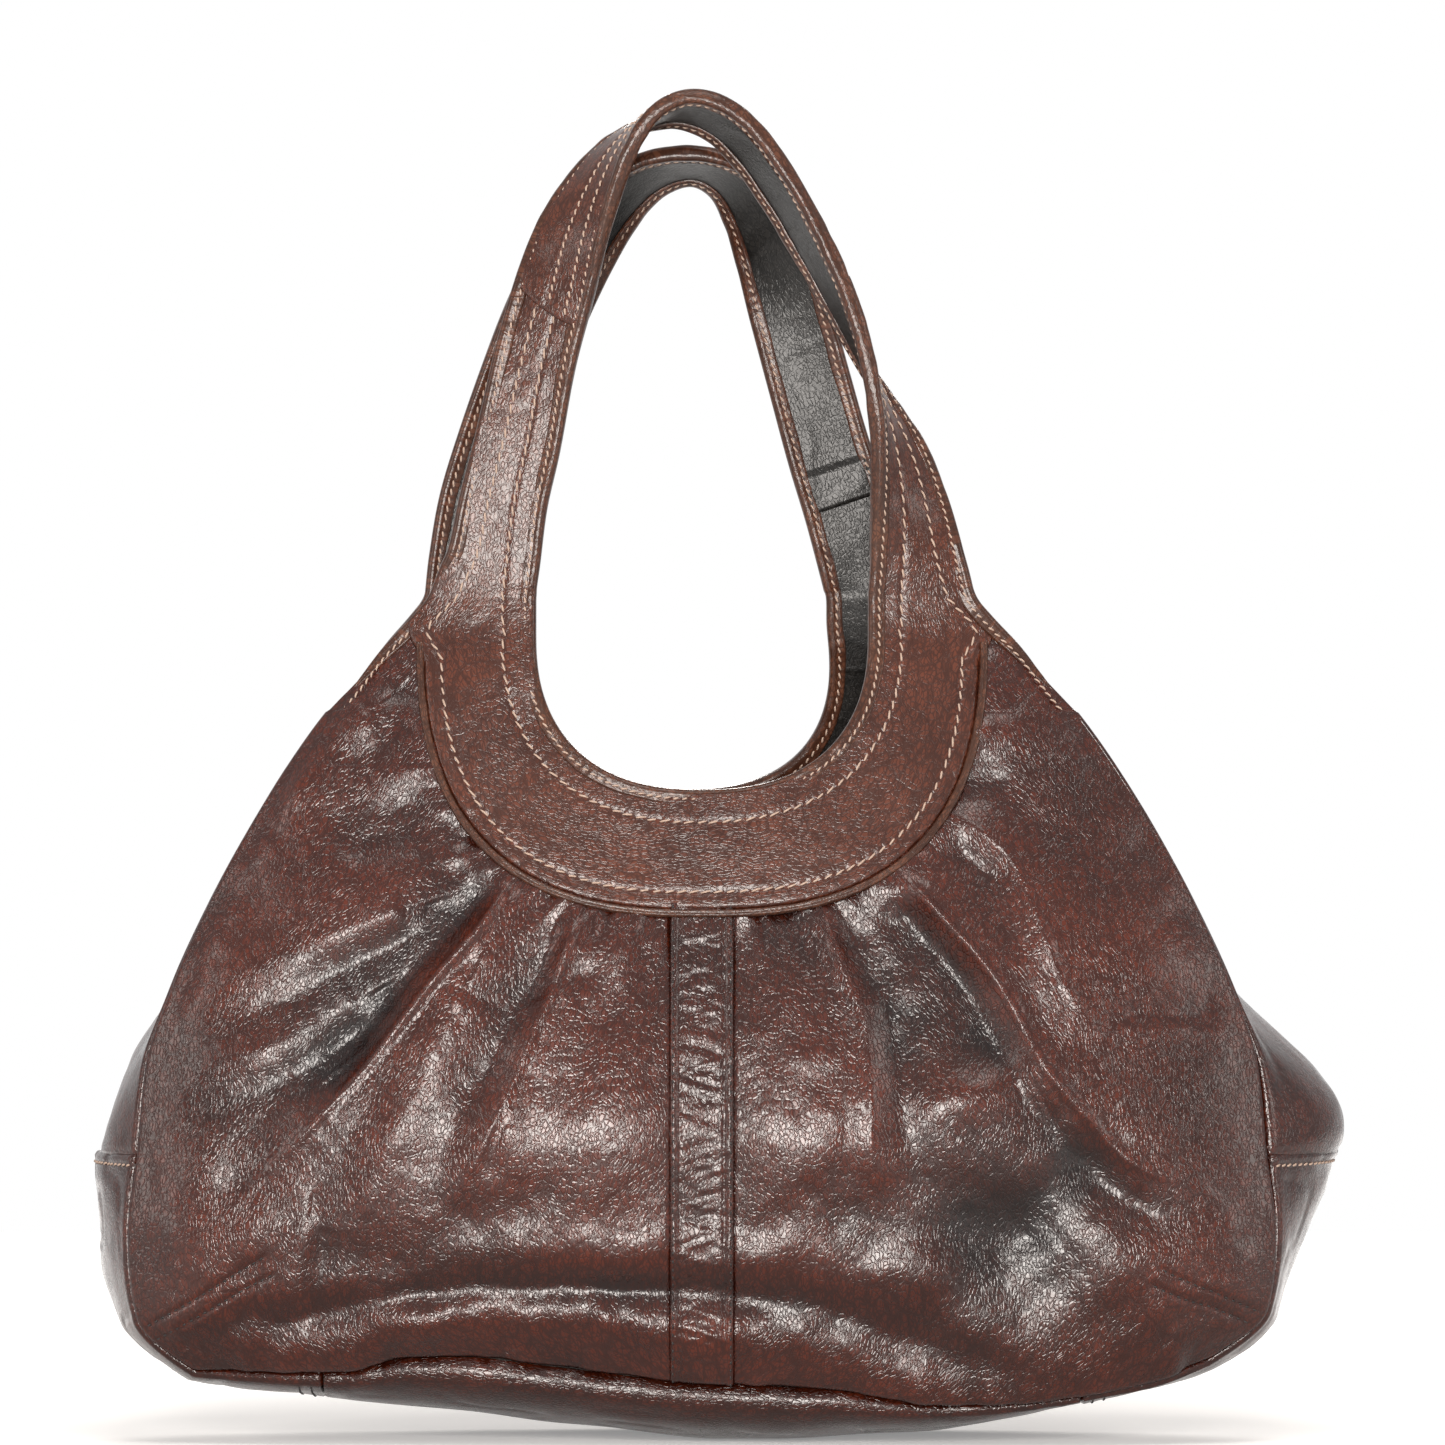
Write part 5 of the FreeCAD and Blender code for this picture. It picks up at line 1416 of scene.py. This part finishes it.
def cloth_look(name, colour, thread_mm, rough):
    """Plain-woven cotton: crossing threads about half a millimetre apart."""
    made, tree = start_material(name)
    uv = node(tree, "ShaderNodeUVMap", {"uv_map": "leather"})
    waves = []
    for direction in ("X", "Y"):
        waves.append(
            node(
                tree, "ShaderNodeTexWave", {"bands_direction": direction}, Vector=uv.outputs[0],
                Scale=0.314 / thread_mm, Distortion=0.4, Detail=1.0,
            )
        )
    warp, weft = (wave.outputs["Fac"] for wave in waves)
    weave = node(tree, "ShaderNodeMath", {"operation": "MULTIPLY"}, _0=warp, _1=weft)
    dark = tuple(c * 0.6 for c in colour[:3]) + (1.0,)
    tint = node(tree, "ShaderNodeMix", {"data_type": "RGBA"}, _0=weave.outputs[0], _6=dark, _7=colour)
    raised = node(tree, "ShaderNodeBump", Strength=0.6, Distance=0.0001, Height=weave.outputs[0])
    cloth = node(tree, "ShaderNodeBsdfPrincipled", Base_Color=tint.outputs[2], Roughness=rough, Sheen_Weight=0.25,
                 Normal=raised.outputs[0])
    finish_material(tree, cloth)
    return made


def metal_look(name, colour, rough):
    """Brushed and tumbled antique brass: a mottled tarnish over soft scratches."""
    made, tree = start_material(name)
    place = node(tree, "ShaderNodeTexCoord")
    mottle = node(tree, "ShaderNodeTexNoise", Vector=place.outputs["Object"], Scale=260.0, Detail=4.0)
    painted_shade_and_tarnish = node(
        tree, "ShaderNodeMapRange", Value=mottle.outputs[0], From_Min=0.35, From_Max=0.7, To_Min=0.45, To_Max=1.0
    )
    tint = node(
        tree, "ShaderNodeMix", {"data_type": "RGBA", "blend_type": "MULTIPLY"}, _0=1.0, _6=colour, _7=painted_shade_and_tarnish.outputs[0]
    )
    scratch = node(tree, "ShaderNodeBump", Strength=0.3, Distance=0.00003, Height=mottle.outputs[0])
    brass = node(tree, "ShaderNodeBsdfPrincipled", Base_Color=tint.outputs[2], Metallic=1.0, Roughness=rough,
                 Normal=scratch.outputs[0])
    finish_material(tree, brass)
    return made


def thread_look(name, colour, rough):
    """Bonded polyester thread, laid up from three plies."""
    made, tree = start_material(name)
    uv = node(tree, "ShaderNodeUVMap", {"uv_map": "leather"})
    plies = node(tree, "ShaderNodeTexWave", {"bands_direction": "DIAGONAL"}, Vector=uv.outputs[0], Scale=0.5)
    raised = node(tree, "ShaderNodeBump", Strength=0.5, Distance=0.00006, Height=plies.outputs["Fac"])
    thread = node(tree, "ShaderNodeBsdfPrincipled", Base_Color=colour, Roughness=rough, Normal=raised.outputs[0])
    finish_material(tree, thread)
    return made


def material(key):
    """The finish for a slot, made once from the panel's colours."""
    found = bpy.data.materials.get("bag_" + key)
    if found:
        return found
    name, tint = "bag_" + key, bpy.context.scene.bag_colours
    if key == "brown_leather":
        return leather_look(name, tint.leather_fold_shade, tint.leather_ridge_light, 0.28, 1.0, 1.0, 0.5)
    if key == "yoke_leather":
        return leather_look(name, tint.yoke_dark, tint.yoke_light, 0.36, 0.7, 0.6, 0.4)
    if key == "binding_leather":
        return leather_look(name, tint.binding_dark, tint.binding_light, 0.34, 0.5, 0.7, 0.3)
    if key == "dark_leather":
        return leather_look(name, tint.inner_dark, tint.inner_light, 0.36, 0.6, 0.5, 0.2)
    if key == "lining_fabric":
        return cloth_look(name, tint.lining, 0.5, 0.85)
    if key == "zip_tape":
        return cloth_look(name, tint.tape, 0.4, 0.8)
    if key == "stiffener_board":
        return cloth_look(name, tint.board, 1.5, 0.9)
    if key in ("zip_metal", "snap_metal"):
        return metal_look(name, tint.metal, 0.32)
    if key == "thread":
        return thread_look(name, tint.thread, 0.5)
    return thread_look(name, tint.dark_thread, 0.55)


# ---------------------------------------------------------------- stage


def seen_rays(tree):
    """1 for rays that show the white ground: those of the camera, of reflections and through glass."""
    path = node(tree, "ShaderNodeLightPath")
    either = node(tree, "ShaderNodeMath", {"operation": "MAXIMUM"}, _0=path.outputs["Is Camera Ray"],
                  _1=path.outputs["Is Glossy Ray"])
    return node(tree, "ShaderNodeMath", {"operation": "MAXIMUM"}, _0=either.outputs[0],
                _1=path.outputs["Is Transmission Ray"]).outputs[0]


def make_stage():
    """A white sweep, soft overhead and side light, and a long lens level with the middle of the bag."""
    scene = bpy.context.scene
    sizes = scene.bag_sizes
    floor_mesh = bpy.data.meshes.new("floor")
    near, far, wide = -1.6, 1.4, 2.4
    floor_mesh.from_pydata([(-wide, near, 0), (wide, near, 0), (wide, far, 0), (-wide, far, 0)], [], [(0, 1, 2, 3)])
    floor = bpy.data.objects.new("floor", floor_mesh)
    paper, tree = start_material("bag_floor_paper")
    place = node(tree, "ShaderNodeTexCoord")
    reach = node(tree, "ShaderNodeVectorMath", {"operation": "LENGTH"}, _0=place.outputs["Object"])
    far_off = node(tree, "ShaderNodeMapRange", {"interpolation_type": "SMOOTHSTEP"}, Value=reach.outputs["Value"],
                   From_Min=0.2, From_Max=0.55, To_Min=0.25, To_Max=1.0)
    matt = node(tree, "ShaderNodeBsdfDiffuse", Color=linear("#f3f3f3"))
    dull = node(tree, "ShaderNodeBsdfDiffuse", Color=linear("#9e9893"))
    glow = node(tree, "ShaderNodeEmission", Color=linear("#ffffff"), Strength=far_off.outputs[0])
    both = node(tree, "ShaderNodeAddShader", _0=matt.outputs[0], _1=glow.outputs[0])
    seen = node(tree, "ShaderNodeMixShader", _0=seen_rays(tree), _1=dull.outputs[0], _2=both.outputs[0])
    finish_material(tree, seen)
    floor_mesh.materials.append(paper)
    scene.collection.objects.link(floor)
    lamps = (
        ("key", (-0.15, -2.2, 0.46), (0.0, 0.0, 0.14), 0.8, 0.6, 60.0),
        ("overhead", (0.1, -0.75, 1.75), (0.0, 0.0, 0.2), 0.9, 0.5, 12.0),
        ("right_box", (1.6, -0.9, 0.7), (0.0, 0.0, 0.2), 0.45, 1.1, 10.0),
        ("left_box", (-1.6, -0.9, 0.7), (0.0, 0.0, 0.2), 0.45, 1.1, 10.0),
        ("rear_box", (0.2, 2.1, 1.1), (0.0, 0.0, 0.14), 0.9, 0.7, 44.0),
    )
    for name, place, target, width, height, power in lamps:
        data = bpy.data.lights.new(name, "AREA")
        data.shape, data.size, data.size_y, data.energy = "RECTANGLE", width, height, power
        data.color = (1.0, 0.95, 0.9)
        lamp = bpy.data.objects.new(name, data)
        lamp.location = place
        lamp.rotation_euler = (Vector(target) - Vector(place)).to_track_quat("-Z", "Y").to_euler()
        scene.collection.objects.link(lamp)
    world = bpy.data.worlds.new("bag_world")
    scene.world = world
    world.use_nodes = True
    tree = world.node_tree
    tree.nodes.clear()
    dim = node(tree, "ShaderNodeBackground", Color=linear("#fffcf9"), Strength=0.12)
    white = node(tree, "ShaderNodeBackground", Color=linear("#ffffff"), Strength=1.0)
    mixed = node(tree, "ShaderNodeMixShader", _0=seen_rays(tree), _1=dim.outputs[0], _2=white.outputs[0])
    node(tree, "ShaderNodeOutputWorld", Surface=mixed.outputs[0])
    data = bpy.data.cameras.new("camera")
    camera = bpy.data.objects.new("camera", data)
    distance, seen_width = sizes.camera_distance, 0.48167
    data.sensor_width = 36.0
    data.lens = data.sensor_width * distance / seen_width
    data.clip_end = 50.0
    camera.location = (0.0068, -0.02 - distance, 0.2392)
    camera.rotation_euler = (math.pi / 2, 0.0, 0.0)
    scene.collection.objects.link(camera)
    scene.camera = camera
    scene.view_settings.view_transform = "Standard"


# ---------------------------------------------------------------- the add-on


class BagSizes(PropertyGroup):
    """Sizes that the look can be tuned by."""

    fold_depth: FloatProperty(
        name="Fold depth", description="How deep the pleats are drawn, 1 as measured", default=1.0, min=0.0, max=2.0
    )
    grain_size: FloatProperty(
        name="Grain size", description="Width of one pebble of the grain, in millimetres", default=1.1, min=0.3, max=4.0
    )
    camera_distance: FloatProperty(
        name="Camera distance", description="From the camera to the bag", default=3.5, min=1.0, max=10.0, unit="LENGTH"
    )


def colour_property(name, description, code):
    return FloatVectorProperty(
        name=name, description=description, subtype="COLOR", size=4, min=0, max=1, default=linear(code)
    )


class BagColours(PropertyGroup):
    """Colours of the materials."""

    # The body leather's two colours: the dark one is painted shade in the folds, the light one painted light on the
    # ridges, both also mixed by random patches of tone
    leather_fold_shade: colour_property("Leather, folds", "Dye in the folds of the body", "#190603")
    leather_ridge_light: colour_property("Leather, ridges", "Dye on the rubbed ridges of the body", "#54200f")
    yoke_dark: colour_property("Yoke, grain", "Dye in the grain of the yoke", "#3a1a10")
    yoke_light: colour_property("Yoke, rubbed", "Dye on the yoke's high parts", "#633423")
    binding_dark: colour_property("Binding, grain", "Dye in the creases of the bindings", "#36190f")
    binding_light: colour_property("Binding, rubbed", "Dye on the bindings' rolls", "#684332")
    inner_dark: colour_property("Inner leather", "The dark leather inside the straps", "#171514")
    inner_light: colour_property("Inner leather, rubbed", "The inner leather's high parts", "#2b2927")
    lining: colour_property("Lining", "Cotton lining cloth", "#5b4a3d")
    tape: colour_property("Zip tape", "Woven tape of the zip", "#2b2019")
    board: colour_property("Board", "Stiffening board", "#7a6a58")
    metal: colour_property("Brass", "Antique brass of the zip and snap", "#a88348")
    thread: colour_property("Thread", "Golden tan thread", "#a68f80")
    dark_thread: colour_property("Dark thread", "Dark thread of the strip's edges", "#120a08")


def each_side(function):
    for side in (FRONT, REAR):
        function(side)


def each_end(function):
    for hand, label in ((-1, "left"), (1, "right")):
        function(hand, label)


class BAG_OT_panels(Operator):
    """Makes the four pleated body panels"""

    bl_idname = "bag.panels"
    bl_label = "Body Panels"

    def execute(self, context):
        each_side(make_panels)
        return {"FINISHED"}


class BAG_OT_strips(Operator):
    """Makes the strips down the middle of the front and rear"""

    bl_idname = "bag.strips"
    bl_label = "Middle Strips"

    def execute(self, context):
        each_side(make_strip)
        return {"FINISHED"}


class BAG_OT_yokes(Operator):
    """Makes the yokes with their arms, the facings inside them and the upper straps"""

    bl_idname = "bag.yokes"
    bl_label = "Yokes and Straps"

    def execute(self, context):
        each_side(make_yoke)
        each_side(make_strap_top)
        each_side(make_facing)
        return {"FINISHED"}


class BAG_OT_bindings(Operator):
    """Makes the bindings and the yokes' piping"""

    bl_idname = "bag.bindings"
    bl_label = "Bindings and Piping"

    def execute(self, context):
        each_side(make_bindings)
        each_side(make_piping)
        each_end(make_gusset_binding)
        return {"FINISHED"}


class BAG_OT_gussets(Operator):
    """Makes the side gussets"""

    bl_idname = "bag.gussets"
    bl_label = "Gussets"

    def execute(self, context):
        each_end(make_upper_gusset)
        each_end(make_lower_gusset)
        return {"FINISHED"}


class BAG_OT_base(Operator):
    """Makes the base leather and its board"""

    bl_idname = "bag.base"
    bl_label = "Base"

    def execute(self, context):
        make_base()
        return {"FINISHED"}


class BAG_OT_inside(Operator):
    """Makes the lining, the pockets and the zip's tapes"""

    bl_idname = "bag.inside"
    bl_label = "Lining and Pockets"

    def execute(self, context):
        each_side(make_lining)
        make_lining_ends()
        make_pockets()
        make_zip()
        return {"FINISHED"}


class BAG_OT_tabs(Operator):
    """Makes the two snap tabs"""

    bl_idname = "bag.tabs"
    bl_label = "Snap Tabs"

    def execute(self, context):
        make_tabs()
        return {"FINISHED"}


class BAG_OT_stage(Operator):
    """Makes the floor, the lights and the camera"""

    bl_idname = "bag.stage"
    bl_label = "Stage"

    def execute(self, context):
        make_stage()
        return {"FINISHED"}


STEPS = (
    BAG_OT_panels, BAG_OT_strips, BAG_OT_yokes, BAG_OT_bindings, BAG_OT_gussets, BAG_OT_base, BAG_OT_inside,
    BAG_OT_tabs, BAG_OT_stage,
)


class BAG_PT_panel(Panel):
    """The bag's sizes, colours and steps"""

    bl_idname = "BAG_PT_panel"
    bl_label = "Hobo Bag"
    bl_space_type = "VIEW_3D"
    bl_region_type = "UI"
    bl_category = "Hobo Bag"

    def draw(self, context):
        layout = self.layout
        for group in (context.scene.bag_sizes, context.scene.bag_colours):
            for name in group.__annotations__:
                layout.prop(group, name)
        for step in STEPS:
            layout.operator(step.bl_idname)


CLASSES = (BagSizes, BagColours, *STEPS, BAG_PT_panel)


def register():
    for cls in CLASSES:
        bpy.utils.register_class(cls)
    bpy.types.Scene.bag_sizes = PointerProperty(type=BagSizes)
    bpy.types.Scene.bag_colours = PointerProperty(type=BagColours)


def unregister():
    del bpy.types.Scene.bag_colours
    del bpy.types.Scene.bag_sizes
    for cls in reversed(CLASSES):
        bpy.utils.unregister_class(cls)


def main():
    """Builds every piece."""
    register()
    for step in STEPS:
        getattr(bpy.ops.bag, step.bl_idname.split(".")[1])()


if __name__ == "__main__":
    main()
